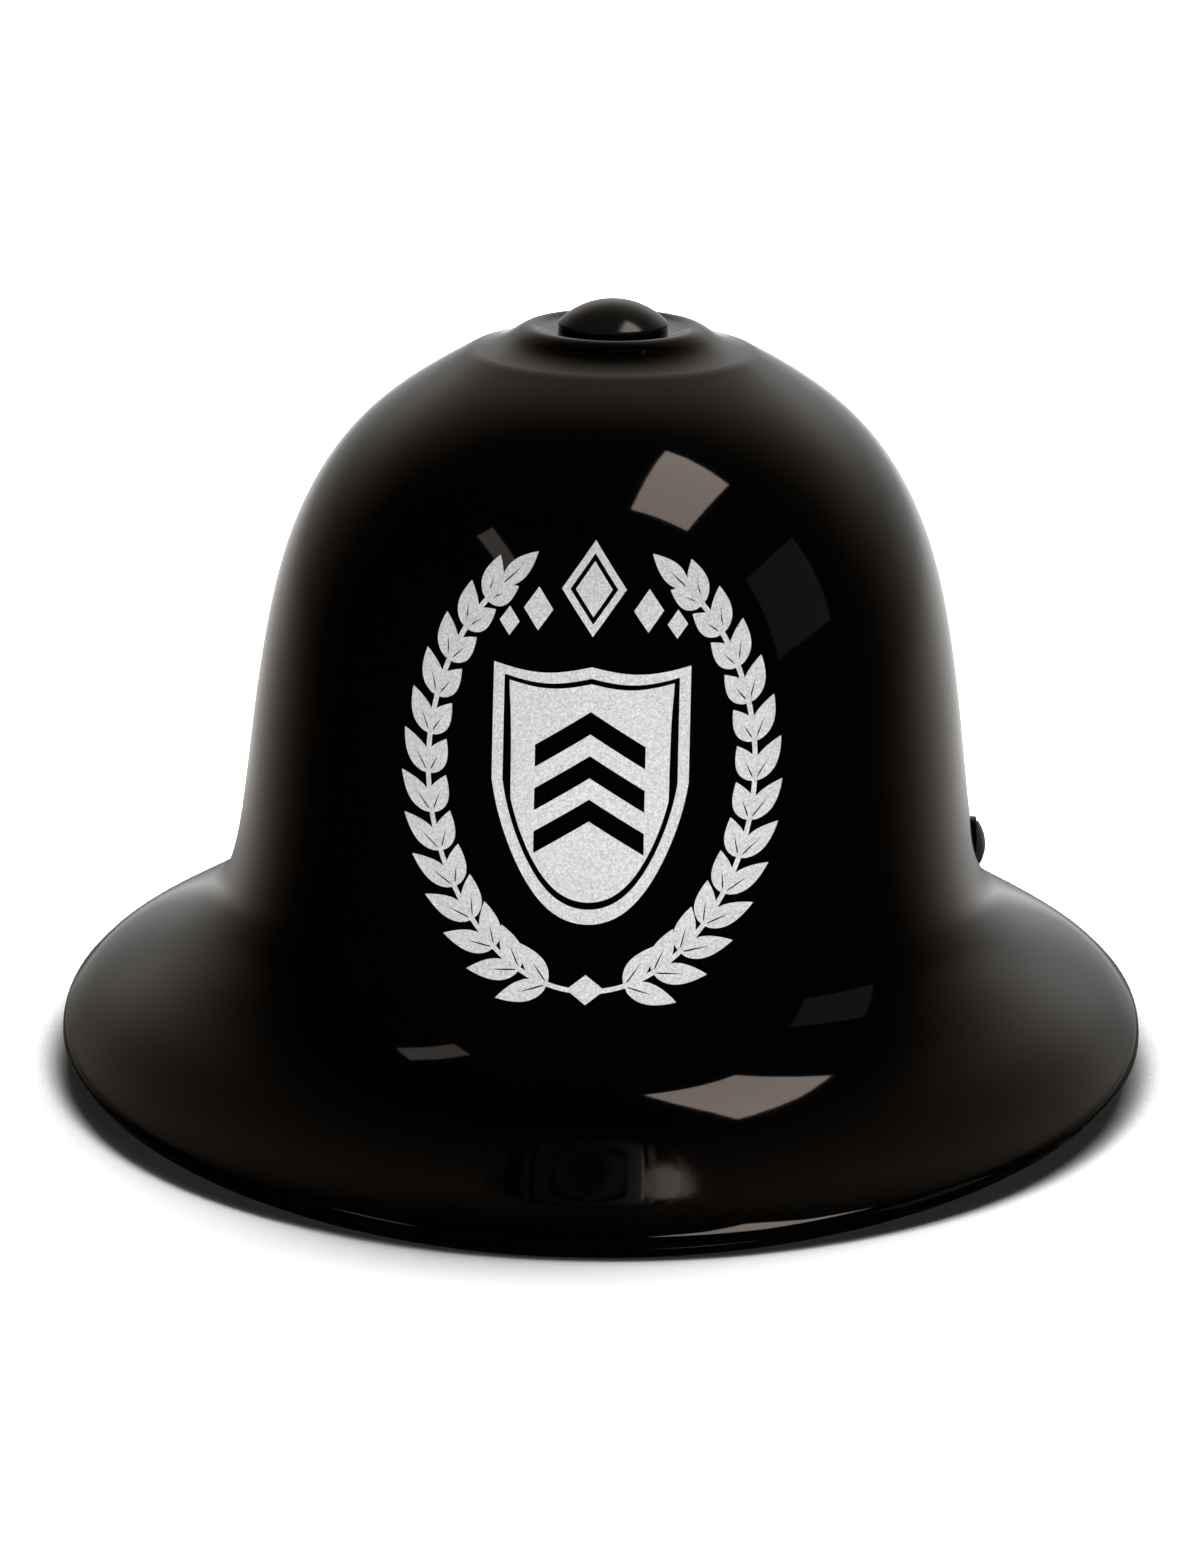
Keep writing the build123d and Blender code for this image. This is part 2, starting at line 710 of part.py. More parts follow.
with BuildPart() as adjuster_housing:
    housing_bottom = rack_centre - rack_height / 2 - rack_gap - housing_wall
    housing_height = rack_height + 2 * rack_gap + 2 * housing_wall
    housing_inner = band_end_radius - band_thickness
    add(nape_ring(housing_inner, channel_outer, 90, housing_span, housing_bottom, housing_height))
    fillet(edges().group_by(SortBy.LENGTH)[0], housing_wall)
    channel = nape_ring(
        band_end_radius,
        channel_outer + overrun,
        90,
        housing_span + 2 * overrun,
        housing_bottom + housing_wall,
        housing_height - 2 * housing_wall,
    )
    add(channel, mode=Mode.SUBTRACT)
    with BuildSketch(nape_plane(90, housing_inner - overrun, rack_centre)):
        Circle(journal_radius + running_gap)
    extrude(amount=band_thickness + 2 * overrun, mode=Mode.SUBTRACT)
adjuster_housing.part.label = "adjuster_housing"
export_step(adjuster_housing.part, "parts/adjuster_housing.step")

# The cover closes the channel and carries the ring of click teeth that the pawls ride on
click_ring_width = 1.5
click_outer = knob_radius - knob_wall - seat_gap
click_inner = click_outer - click_ring_width
click_count = 30
click_depth = 0.5
click_rise = 2.0

with BuildPart() as adjuster_cover:
    cover_outer = channel_outer + cover_thickness
    add(nape_ring(channel_outer, cover_outer, 90, housing_span, housing_bottom, housing_height))
    fillet(edges().group_by(SortBy.LENGTH)[0], housing_wall)
    with BuildSketch(nape_plane(90, channel_outer + cover_thickness / 2, rack_centre)):
        Circle(click_outer)
        Circle(click_inner, mode=Mode.SUBTRACT)
        with PolarLocations(click_inner, click_count):
            RegularPolygon(click_depth, 3, mode=Mode.SUBTRACT)
    extrude(amount=cover_thickness / 2 + click_rise)
    with BuildSketch(nape_plane(90, channel_outer - overrun, rack_centre)):
        Circle(spindle_radius + running_gap)
    extrude(amount=cover_thickness + click_rise + overrun, mode=Mode.SUBTRACT)
adjuster_cover.part.label = "adjuster_cover"
export_step(adjuster_cover.part, "parts/adjuster_cover.step")

# Pawl disc: two springy arms on a hub that the spindle's square turns
pawl_hub_radius = 4.6
pawl_tip_radius = click_inner - seat_gap
pawl_arm = 1.0
pawl_sweep = 100.0
pawl_root_sweep = 10.0

with BuildPart() as pawl_disc:
    with BuildSketch(nape_plane(90, channel_outer + cover_thickness + running_gap, rack_centre)):
        Circle(pawl_hub_radius)
        for turn in (0, 180):
            arm_inner = pawl_tip_radius - pawl_arm
            with Locations(Location((0, 0, 0), (0, 0, turn))):
                add(sector(arm_inner, pawl_tip_radius, pawl_sweep / 2, pawl_sweep))
                add(sector(pawl_hub_radius - pawl_arm, pawl_tip_radius, pawl_root_sweep / 2, pawl_root_sweep))
        Rectangle(square_size + 2 * running_gap, square_size + 2 * running_gap, mode=Mode.SUBTRACT)
    extrude(amount=pawl_thickness)
pawl_disc.part.label = "pawl_disc"
export_step(pawl_disc.part, "parts/pawl_disc.step")

with BuildPart() as adjuster_knob:
    boss_inner = channel_outer + cover_thickness + 2 * running_gap + pawl_thickness
    with BuildSketch(nape_plane(90, knob_inner, rack_centre)):
        Circle(knob_radius)
        with PolarLocations(knob_radius + flute_radius / 2, flute_count):
            Circle(flute_radius, mode=Mode.SUBTRACT)
    extrude(amount=knob_depth)
    fillet(faces().sort_by(Axis.Y)[-1].edges(), edge_round)
    with BuildSketch(nape_plane(90, knob_inner, rack_centre)):
        Circle(knob_radius - knob_wall)
    extrude(amount=knob_depth - knob_floor, mode=Mode.SUBTRACT)
    with BuildSketch(nape_plane(90, boss_inner, rack_centre)):
        Circle(knob_boss_radius)
    extrude(amount=knob_outer - knob_floor - boss_inner)
    with BuildSketch(nape_plane(90, boss_inner, rack_centre)):
        Rectangle(square_size + 2 * running_gap, square_size + 2 * running_gap)
    extrude(amount=spindle_end - boss_inner, mode=Mode.SUBTRACT)
    with BuildSketch(nape_plane(90, boss_inner, rack_centre)):
        Circle(screw_radius + running_gap)
    extrude(amount=knob_depth, mode=Mode.SUBTRACT)
    with BuildSketch(nape_plane(90, knob_outer, rack_centre)):
        Circle(screw_head_radius + seat_gap)
    extrude(amount=-screw_head_depth, mode=Mode.SUBTRACT)
adjuster_knob.part.label = "adjuster_knob"
export_step(adjuster_knob.part, "parts/adjuster_knob.step")

with BuildPart() as adjuster_screw:
    with BuildSketch(nape_plane(90, knob_outer - screw_head_depth, rack_centre)):
        Circle(screw_head_radius)
    extrude(amount=screw_head_depth)
    fillet(faces().sort_by(Axis.Y)[-1].edges(), edge_round)
    with BuildSketch(nape_plane(90, knob_outer - screw_head_depth, rack_centre)):
        Circle(screw_radius)
    extrude(amount=screw_head_depth - screw_length)
adjuster_screw.part.label = "adjuster_screw"
export_step(adjuster_screw.part, "parts/adjuster_screw.step")

# Headband: the open oval, with a peg hole at each hanger and a keeper for each rack
peg_radius = 2.0
with BuildPart() as headband:
    with BuildSketch(Plane(origin=(0, band_setback, band_bottom))):
        add(oval_ring(band_half_width, band_half_length, band_end_radius, band_thickness))
        with Locations((0, band_end_centre)):
            add(
                sector(band_end_radius / 2, band_half_length, 90, 180 - 2 * band_end_angle),
                mode=Mode.SUBTRACT,
            )
    extrude(amount=band_height)
    slot_height = rack_height + 2 * rack_gap
    for side, rack_radius in ((1, left_rack_radius), (-1, right_rack_radius)):
        middle = 90 - side * (90 - band_end_angle + keeper_span / 2)
        keeper_outer = rack_radius + rack_thickness + rack_gap + keeper_wall
        add(nape_ring(band_end_radius, keeper_outer, middle, keeper_span, band_bottom, band_height))
        slot = nape_ring(
            rack_radius - rack_gap,
            rack_radius + rack_thickness + rack_gap,
            middle,
            2 * keeper_span,
            rack_centre - slot_height / 2,
            slot_height,
        )
        add(slot, mode=Mode.SUBTRACT)
    for direction in hanger_directions.values():
        outward = (cos(radians(direction)), sin(radians(direction)), 0)
        with BuildSketch(Plane(origin=(0, band_setback, peg_height), z_dir=outward)):
            Circle(peg_radius + running_gap)
        extrude(amount=band_half_length, mode=Mode.SUBTRACT)
headband.part.label = "headband"
export_step(headband.part, "parts/headband.step")

# Hangers: a key for the pocket, a bridge over the headband, an upright for the webbing,
# and a tongue down the headband with a peg through it
tongue_width = 10.0
tongue_inset = 1.5
webbing_width = 14.0
webbing_thickness = 1.2
upright_outer = hanger_reach - seat_gap / 2 - pocket_wall - seat_gap
upright_inner = upright_outer - hanger_thickness
bridge_top = key_bottom + hanger_thickness
strap_foot = bridge_top + hanger_thickness

for name, direction in hanger_directions.items():
    outward = (cos(radians(direction)), sin(radians(direction)), 0)
    with BuildPart() as hanger:
        with BuildSketch(upright(direction, 0)):
            with BuildLine():
                Polyline(
                    (hanger_reach + hanger_thickness, key_bottom),
                    (hanger_reach + hanger_thickness, bridge_top + key_height),
                    (hanger_reach, bridge_top + key_height),
                    (hanger_reach, bridge_top),
                    (upright_outer, bridge_top),
                    (upright_outer, bridge_top + key_height),
                    (upright_inner, bridge_top + key_height),
                    (upright_inner, key_bottom),
                    close=True,
                )
            make_face()
        extrude(amount=hanger_width / 2, both=True)
        with BuildSketch(upright(direction, peg_height - 2 * peg_radius)):
            with Locations((hanger_reach - tongue_inset, 0)):
                Rectangle(
                    hanger_thickness + tongue_inset,
                    key_bottom + hanger_thickness - peg_height + 2 * peg_radius,
                    align=(Align.MIN, Align.MIN),
                )
        extrude(amount=tongue_width / 2, both=True)
        with BuildSketch(Plane(origin=(0, band_setback, 0))):
            add(oval_face(band_half_width + seat_gap, band_half_length + seat_gap, band_end_radius + seat_gap))
        extrude(amount=band_bottom + band_height, mode=Mode.SUBTRACT)
        with BuildSketch(upright(direction, 0)):
            with Locations((upright_inner - overrun, strap_foot)):
                Rectangle(hanger_thickness + 2 * overrun, 2 * hanger_thickness, align=(Align.MIN, Align.MIN))
        extrude(amount=webbing_width / 2 + seat_gap, both=True, mode=Mode.SUBTRACT)
        with BuildSketch(Plane(origin=(0, band_setback, peg_height), z_dir=outward).offset(hanger_reach)):
            Circle(peg_radius)
        extrude(amount=-band_thickness - 2 * seat_gap)
    hanger.part.label = f"{name}_hanger"
    export_step(hanger.part, f"parts/{name}_hanger.step")

# Crown straps: two webbings that cross over the head, the upper one stitched to the lower, over a pad
crown_gap = 24.9
crown_end_share = 0.803
crown_rise = dome_height - crown_gap - strap_foot
crown_half_width = upright_inner - seat_gap
crown_end_radius = crown_half_width * crown_end_share
crown_pad_thickness = 4.0
crown_pad_angle = 27.0
crown_drop = webbing_thickness + seat_gap + (webbing_width / 2) ** 2 / (2 * crown_end_radius)

for name, direction, drop in (
    ("crown_strap_upper", hanger_directions["rear_left"], 0),
    ("crown_strap_lower", hanger_directions["rear_right"], crown_drop),
):
    with BuildPart() as crown_strap:
        with BuildSketch(upright(direction, strap_foot)):
            add(
                oval_ring(
                    crown_half_width - drop,
                    crown_rise - drop,
                    crown_end_radius - drop,
                    webbing_thickness,
                )
            )
            Rectangle(
                2 * crown_half_width, crown_rise, align=(Align.CENTER, Align.MIN), mode=Mode.INTERSECT
            )
        extrude(amount=webbing_width / 2, both=True)
    crown_strap.part.label = name
    export_step(crown_strap.part, f"parts/{name}.step")

with BuildPart() as crown_pad:
    pad_outer = crown_end_radius - crown_drop - webbing_thickness - seat_gap
    pad_origin = strap_foot + oval_ends(crown_half_width, crown_rise, crown_end_radius)[0]
    with BuildSketch(upright(0, pad_origin)):
        add(sector(pad_outer - crown_pad_thickness, pad_outer, 90 - crown_pad_angle / 2, crown_pad_angle))
    revolve(axis=Axis((0, band_setback, 0), (0, 0, 1)))
crown_pad.part.label = "crown_pad"
export_step(crown_pad.part, "parts/crown_pad.step")

# Soft linings: a brow pad along the front of the headband and a pad on the nape housing
lining_thickness = 4.0
brow_pad_span = 104.0
nape_pad_span = 42.0
lining_outer = band_end_radius - band_thickness - seat_gap
lining_inner = lining_outer - lining_thickness
lining_height = band_height - 2 * overrun

with BuildPart() as brow_pad:
    with BuildSketch(Plane(origin=(0, band_setback - band_end_centre, band_bottom + overrun))):
        add(sector(lining_inner, lining_outer, -90, brow_pad_span))
    extrude(amount=lining_height)
brow_pad.part.label = "brow_pad"
export_step(brow_pad.part, "parts/brow_pad.step")

with BuildPart() as nape_pad:
    add(nape_ring(lining_inner, lining_outer, 90, nape_pad_span, band_bottom + overrun, lining_height))
nape_pad.part.label = "nape_pad"
export_step(nape_pad.part, "parts/nape_pad.step")
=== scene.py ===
import bmesh
import bpy
import math
import numpy as np
from mathutils import Matrix, Vector


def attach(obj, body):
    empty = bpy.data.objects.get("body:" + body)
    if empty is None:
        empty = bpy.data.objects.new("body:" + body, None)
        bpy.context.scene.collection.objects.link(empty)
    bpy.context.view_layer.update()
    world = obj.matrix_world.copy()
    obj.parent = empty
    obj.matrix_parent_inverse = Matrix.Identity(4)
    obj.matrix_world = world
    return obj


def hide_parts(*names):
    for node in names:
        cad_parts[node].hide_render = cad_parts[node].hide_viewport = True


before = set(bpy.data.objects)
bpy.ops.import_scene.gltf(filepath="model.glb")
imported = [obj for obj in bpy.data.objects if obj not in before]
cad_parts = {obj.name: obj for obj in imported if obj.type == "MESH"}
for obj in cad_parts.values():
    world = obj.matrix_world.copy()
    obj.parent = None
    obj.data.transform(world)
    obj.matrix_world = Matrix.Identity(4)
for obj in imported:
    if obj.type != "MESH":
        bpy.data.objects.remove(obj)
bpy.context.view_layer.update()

# The shell is one tall bell, blow moulded in glossy black plastic. Its brim flares out all round and
# is trimmed to an upright lip, and the crown rises to a dished collar for the button.
MM = 0.001
BRIM_WIDTH = 264.0
BRIM_LENGTH = 300.0
BRIM_DIP = 7.5
DOME_HEIGHT = 173.0
DOME_SETBACK = 11.6
SHELL_WALL = 2.2
BELL_SECTIONS = np.array([
    (-0.040, 1.150, 1.052, 0.000),
    (-0.012, 1.105, 1.034, 0.000),
    (0.024, 1.060, 0.998, 0.022),
    (0.061, 1.010, 0.938, 0.493),
    (0.104, 0.950, 0.859, 0.980),
    (0.140, 0.864, 0.806, 1.125),
    (0.183, 0.771, 0.761, 1.059),
    (0.226, 0.717, 0.732, 0.986),
    (0.275, 0.693, 0.718, 0.960),
    (0.354, 0.675, 0.700, 1.000),
    (0.464, 0.658, 0.683, 1.000),
    (0.592, 0.634, 0.658, 1.000),
    (0.720, 0.594, 0.615, 1.000),
    (0.824, 0.531, 0.549, 1.000),
    (0.903, 0.446, 0.461, 1.000),
    (0.958, 0.350, 0.362, 1.000),
    (1.000, 0.261, 0.230, 1.000),
]) * (DOME_HEIGHT, BRIM_WIDTH / 2, BRIM_LENGTH / 2, DOME_SETBACK)
COLLAR_PROFILE = np.array([
    (34.3, 0, 173.0), (29.6, 0, 174.25), (25.6, 0, 176.0), (22.4, 0, 178.1), (19.9, 0, 178.87),
    (17.6, 0, 178.3), (15.6, 0, 177.9),
])
DISH_RADII = (12.0, 8.0, 4.0, 0.4)
CROWN_UNDERSIDE = ((31.0, 171.4), (24.0, 173.6), (17.2, 175.7), (10.0, 175.7), (0.4, 175.7))
LIP_FLOOR_DROP = 0.08
LIP_FOOT_ROUND = 0.8
LIP_EDGE_ROUND = 1.9
LIP_EDGE_POINTS = 9
LIP_FOOT_POINTS = 5
LIP_STEPS = (0.35, 0.55)
OUTER_LINE_POINTS = 120
INNER_LINE_POINTS = 70
COLLAR_STEPS = 5
SHELL_COLUMNS = 288
SHELL_BLACK, SHELL_ROUGHNESS, SHELL_IOR = (0.0007, 0.0007, 0.0007), 0.05, 1.5
INSIDE_BLACK, INSIDE_ROUGHNESS = (0.012, 0.012, 0.013), 0.38
GLOSS_RIPPLE = (26, 0.05, 0.0012)
GLOSS_GRAIN = (700, 0.5, 0.000004)


def smooth_rows(points, per_span):
    """A natural cubic spline through rows of values, sampled evenly along each span."""
    points = np.asarray(points, float)
    count = len(points)
    spans = np.linalg.norm(np.diff(points[:, :3], axis=0), axis=1)
    system = np.zeros((count, count))
    system[0, 0] = system[-1, -1] = 1
    target = np.zeros_like(points)
    for i in range(1, count - 1):
        system[i, i - 1:i + 2] = spans[i - 1], 2 * (spans[i - 1] + spans[i]), spans[i]
        slope_before = (points[i] - points[i - 1]) / spans[i - 1]
        target[i] = 6 * ((points[i + 1] - points[i]) / spans[i] - slope_before)
    bend = np.linalg.solve(system, target)
    rows = []
    for i, span in enumerate(spans):
        for t in np.arange(per_span) / per_span * span:
            near, far = t / span, 1 - t / span
            rows.append(
                far * points[i] + near * points[i + 1]
                + ((far**3 - far) * bend[i] + (near**3 - near) * bend[i + 1]) * span**2 / 6
            )
    rows.append(points[-1])
    return np.array(rows)


def bell_rows(inset, per_span=12):
    """The bell's sections (height, half width, half length, setback), drawn in by inset."""
    rows = BELL_SECTIONS.copy()
    last = len(rows) - 1
    for i in range(len(rows)):
        below, above = BELL_SECTIONS[max(i - 1, 0)], BELL_SECTIONS[min(i + 1, last)]
        rise = above[0] - below[0]
        draw_in = (below[1] - above[1] + below[2] - above[2]) / 2
        square = math.hypot(rise, draw_in)
        rows[i, 0] -= inset * draw_in / square
        rows[i, 1:3] -= inset * rise / square
    return smooth_rows(rows, per_span)


def bell_column(rows, inset, angle):
    """One upright line of the bell at an angle, from the trimmed brim to the top of its sections."""
    points = np.column_stack((
        rows[:, 1] * math.cos(angle), rows[:, 3] + rows[:, 2] * math.sin(angle), rows[:, 0]
    ))
    reach = np.hypot(points[:, 0] / (BRIM_WIDTH / 2 - inset), points[:, 1] / (BRIM_LENGTH / 2 - inset))
    last = int(np.argmax(reach < 1))
    share = (reach[last - 1] - 1) / (reach[last - 1] - reach[last])
    corner = points[last - 1] + share * (points[last] - points[last - 1])
    return np.vstack((corner, points[last:]))


def even_points(points, count, start=0.0):
    """count points at even distances along a line, the first one at start."""
    steps = np.concatenate(([0], np.cumsum(np.linalg.norm(np.diff(points, axis=0), axis=1))))
    wanted = np.linspace(start, steps[-1], count)
    return np.column_stack([np.interp(wanted, steps, points[:, k]) for k in range(3)])


def rounded_corner(before, corner, after, radius, count):
    """Points of a curve that rounds the corner between two lines."""
    before_way = (before - corner) / np.linalg.norm(before - corner)
    after_way = (after - corner) / np.linalg.norm(after - corner)
    start, end = corner + before_way * radius, corner + after_way * radius
    return [
        (1 - t) ** 2 * start + 2 * t * (1 - t) * corner + t * t * end for t in np.linspace(0, 1, count)
    ]


def brim_floor(x):
    """Height of the brim's lower edge, which dips at the front and back."""
    radius = (BRIM_WIDTH / 2) ** 2 / (2 * BRIM_DIP)
    return max(radius - math.sqrt(radius**2 - x * x) - LIP_FLOOR_DROP, 0.0)


def grid_faces(rows, columns, closed):
    """Quads over a grid of vertices whose columns run round an object."""
    faces = []
    for row in range(rows - 1):
        near, far = row * columns, (row + 1) * columns
        for column in range(columns if closed else columns - 1):
            beside = (column + 1) % columns
            faces.append((near + column, near + beside, far + beside, far + column))
    return faces


def new_piece(name, points, faces, material, smooth_angle=None):
    """A mesh object at the origin from points in millimetres."""
    mesh = bpy.data.meshes.new(name)
    mesh.from_pydata([tuple(p) for p in np.asarray(points) * MM], [], faces)
    mesh.materials.append(material)
    work = bmesh.new()
    work.from_mesh(mesh)
    bmesh.ops.remove_doubles(work, verts=work.verts, dist=1e-7)
    bmesh.ops.recalc_face_normals(work, faces=work.faces)
    work.to_mesh(mesh)
    work.free()
    piece = bpy.data.objects.new(name, mesh)
    bpy.context.scene.collection.objects.link(piece)
    mesh.shade_smooth()
    if smooth_angle:
        mesh.set_sharp_from_angle(angle=math.radians(smooth_angle))
    return piece


def new_material(name, color, roughness, metallic=0.0, coat=0.0, coat_roughness=0.03):
    """A material with one Principled shader, returned with that shader."""
    material = bpy.data.materials.new(name)
    material.use_nodes = True
    shader = material.node_tree.nodes["Principled BSDF"]
    shader.inputs["Base Color"].default_value = (*color, 1)
    shader.inputs["Roughness"].default_value = roughness
    shader.inputs["Metallic"].default_value = metallic
    shader.inputs["Coat Weight"].default_value = coat
    shader.inputs["Coat Roughness"].default_value = coat_roughness
    return material, shader


def grain_group():
    """The fine grain that a moulding takes from its tool."""
    group = bpy.data.node_groups.new("moulded_grain", "ShaderNodeTree")
    group.interface.new_socket("Vector", in_out="INPUT", socket_type="NodeSocketVector")
    group.interface.new_socket("Scale", in_out="INPUT", socket_type="NodeSocketFloat")
    group.interface.new_socket("Height", in_out="OUTPUT", socket_type="NodeSocketFloat")
    nodes, links = group.nodes, group.links
    start, end = nodes.new("NodeGroupInput"), nodes.new("NodeGroupOutput")
    grain = nodes.new("ShaderNodeTexNoise")
    grain.inputs["Detail"].default_value = 3
    links.new(start.outputs["Vector"], grain.inputs["Vector"])
    links.new(start.outputs["Scale"], grain.inputs["Scale"])
    links.new(grain.outputs["Fac"], end.inputs["Height"])
    return group


moulded_grain = grain_group()


def add_grain(material, shader, scale, strength, distance):
    """Bumps a material's surface with the moulded grain."""
    nodes, links = material.node_tree.nodes, material.node_tree.links
    place = nodes.new("ShaderNodeTexCoord")
    grain = nodes.new("ShaderNodeGroup")
    grain.node_tree = moulded_grain
    grain.inputs["Scale"].default_value = scale
    bump = nodes.new("ShaderNodeBump")
    bump.inputs["Strength"].default_value = strength
    bump.inputs["Distance"].default_value = distance
    links.new(place.outputs["Object"], grain.inputs["Vector"])
    links.new(grain.outputs["Height"], bump.inputs["Height"])
    if shader.inputs["Normal"].is_linked:
        links.new(shader.inputs["Normal"].links[0].from_socket, bump.inputs["Normal"])
    links.new(bump.outputs["Normal"], shader.inputs["Normal"])


shell_gloss, shell_shader = new_material("shell_gloss", SHELL_BLACK, SHELL_ROUGHNESS)
shell_shader.inputs["IOR"].default_value = SHELL_IOR
add_grain(shell_gloss, shell_shader, *GLOSS_RIPPLE)
add_grain(shell_gloss, shell_shader, *GLOSS_GRAIN)
shell_inside, _ = new_material("shell_inside", INSIDE_BLACK, INSIDE_ROUGHNESS)

outer_rows = bell_rows(0)
inner_rows = bell_rows(SHELL_WALL)
collar_line = [(r, z) for r, _, z in smooth_rows(COLLAR_PROFILE, COLLAR_STEPS)[1:]]
collar_line += [(r, COLLAR_PROFILE[-1][2]) for r in DISH_RADII]


def crown_points_at(angle, profile):
    """Points of the crown's round middle at an angle, from pairs of (radius, height)."""
    return [
        (r * math.cos(angle), DOME_SETBACK + r * math.sin(angle), z) for r, z in profile
    ]


shell_points = []
for column in range(SHELL_COLUMNS):
    angle = 2 * math.pi * column / SHELL_COLUMNS
    outer = bell_column(outer_rows, 0, angle)
    inner = bell_column(inner_rows, SHELL_WALL, angle)
    corner, inner_corner = outer[0], inner[0]
    floor = np.array((corner[0], corner[1], brim_floor(corner[0])))
    inner_floor = np.array((inner_corner[0], inner_corner[1], brim_floor(inner_corner[0])))
    line = [inner_floor + (floor - inner_floor) / 4]
    line += rounded_corner(inner_floor, floor, corner, LIP_FOOT_ROUND, LIP_FOOT_POINTS)
    line += [floor + (corner - floor) * step for step in LIP_STEPS]
    flare = even_points(outer, OUTER_LINE_POINTS, LIP_EDGE_ROUND)
    line += rounded_corner(floor, corner, flare[0], LIP_EDGE_ROUND, LIP_EDGE_POINTS)
    line += list(flare[1:])
    line += crown_points_at(angle, collar_line)
    hidden = [inner_floor, (inner_floor + inner_corner) / 2]
    hidden += list(even_points(inner, INNER_LINE_POINTS))
    hidden += crown_points_at(angle, CROWN_UNDERSIDE)
    shell_points.append(np.array(hidden[::-1] + line))
shell_rows = len(shell_points[0])
shell_grid = np.array(shell_points).transpose(1, 0, 2).reshape(-1, 3)
shell_faces = grid_faces(shell_rows, SHELL_COLUMNS, True)
shell_faces.append(tuple(range(SHELL_COLUMNS))[::-1])
shell_faces.append(tuple(range((shell_rows - 1) * SHELL_COLUMNS, shell_rows * SHELL_COLUMNS)))
moulded_shell = new_piece("moulded_shell", shell_grid, shell_faces, shell_gloss)
moulded_shell.data.materials.append(shell_inside)
hidden_top = CROWN_UNDERSIDE[-1][1] * MM
hidden_count = INNER_LINE_POINTS * SHELL_COLUMNS
for polygon in moulded_shell.data.polygons:
    if polygon.center.z < hidden_top and min(polygon.vertices) < hidden_count:
        polygon.material_index = 1

# Inside the shell are four pockets for the harness and two pads for the strap's rivets, moulded in one
# with its wall. The left pad comes through as a flat seat for the rivet's head.
WAIST_HEIGHT = 0.275 * DOME_HEIGHT
WAIST_HALF_WIDTH = 0.693 * BRIM_WIDTH / 2
BAND_SETBACK = 7.5
HANGER_DIRECTION = 44.645
HANGER_REACH = 87.536
KEY_BOTTOM = WAIST_HEIGHT - 2.3
RIVET_Y = DOME_SETBACK + 11.0
KEY_THICKNESS = 2.4
KEY_PLAY = 0.15
SLOT_WIDTH = 18.6
SLOT_HEIGHT = 11.0
POCKET_LIFT = 2.7
PAD_RADIUS = 7.0
PAD_INNER_X = WAIST_HALF_WIDTH - 4.7
PAD_BEVEL = 0.25
PAD_POINTS = 64
RIGHT_PAD_SHORTER = 1.6
SEAT_CUT_PLAY = 0.03
SEAT_CUT_DEPTH = 0.5
SEAT_CUT_REACH = 9.0
SEAT_CUT_BEVEL = 0.1
PAD_SHARP_ANGLE = 30
REACH_SEARCH, REACH_HALVINGS = (50.0, 130.0), 30
outer_lookup = outer_rows[np.argsort(outer_rows[:, 0])]


def wall_at(height):
    """Half width, half length and setback of the shell's outside at a height."""
    return [float(np.interp(height, outer_lookup[:, 0], outer_lookup[:, k])) for k in (1, 2, 3)]


def wall_reach(direction, sideways, height):
    """How far along a direction from the headband's centre the middle of the shell's wall is."""
    half_width, half_length, setback = wall_at(height)
    half_width, half_length = half_width - SHELL_WALL / 2, half_length - SHELL_WALL / 2
    near, far = REACH_SEARCH
    for _ in range(REACH_HALVINGS):
        reach = (near + far) / 2
        x = reach * math.cos(direction) - sideways * math.sin(direction)
        y = BAND_SETBACK + reach * math.sin(direction) + sideways * math.cos(direction) - setback
        inside = (x / half_width) ** 2 + (y / half_length) ** 2 < 1
        near, far = (reach, far) if inside else (near, reach)
    return near


def block_points(direction, near, far, left, right, bottom, top):
    """Corners of a block that points outwards; far None ends it inside the shell's wall."""
    corners = []
    for height in (bottom, top):
        for reach, sideways in ((near, left), (far, left), (far, right), (near, right)):
            if reach is None:
                reach = wall_reach(direction, sideways, height)
            corners.append((
                reach * math.cos(direction) - sideways * math.sin(direction),
                BAND_SETBACK + reach * math.sin(direction) + sideways * math.cos(direction),
                height,
            ))
    return corners


BLOCK_FACES = ((3, 2, 1, 0), (4, 5, 6, 7), (0, 1, 5, 4), (1, 2, 6, 5), (2, 3, 7, 6), (3, 0, 4, 7))
HANGER_TURNS = (
    HANGER_DIRECTION, 180 - HANGER_DIRECTION, 180 + HANGER_DIRECTION, -HANGER_DIRECTION)
pocket_points, pocket_faces = [], []
slot_near, slot_far = HANGER_REACH - KEY_PLAY, HANGER_REACH + KEY_THICKNESS + KEY_PLAY
slot_half, pocket_half = SLOT_WIDTH / 2, SLOT_WIDTH / 2 + SHELL_WALL
pocket_floor = KEY_BOTTOM + POCKET_LIFT
slot_roof, pocket_roof = pocket_floor + SLOT_HEIGHT, pocket_floor + SLOT_HEIGHT + SHELL_WALL
for degrees_round in HANGER_TURNS:
    direction = math.radians(degrees_round)
    for block in (
        (slot_near - SHELL_WALL, slot_near, -pocket_half, pocket_half, pocket_floor, pocket_roof),
        (slot_near, None, -pocket_half, -slot_half, pocket_floor, pocket_roof),
        (slot_near, None, slot_half, pocket_half, pocket_floor, pocket_roof),
        (slot_far, None, -slot_half, slot_half, pocket_floor, slot_roof),
        (slot_near, None, -slot_half, slot_half, slot_roof, pocket_roof),
    ):
        first = len(pocket_points)
        pocket_points += block_points(direction, *block)
        pocket_faces += [tuple(first + i for i in face) for face in BLOCK_FACES]
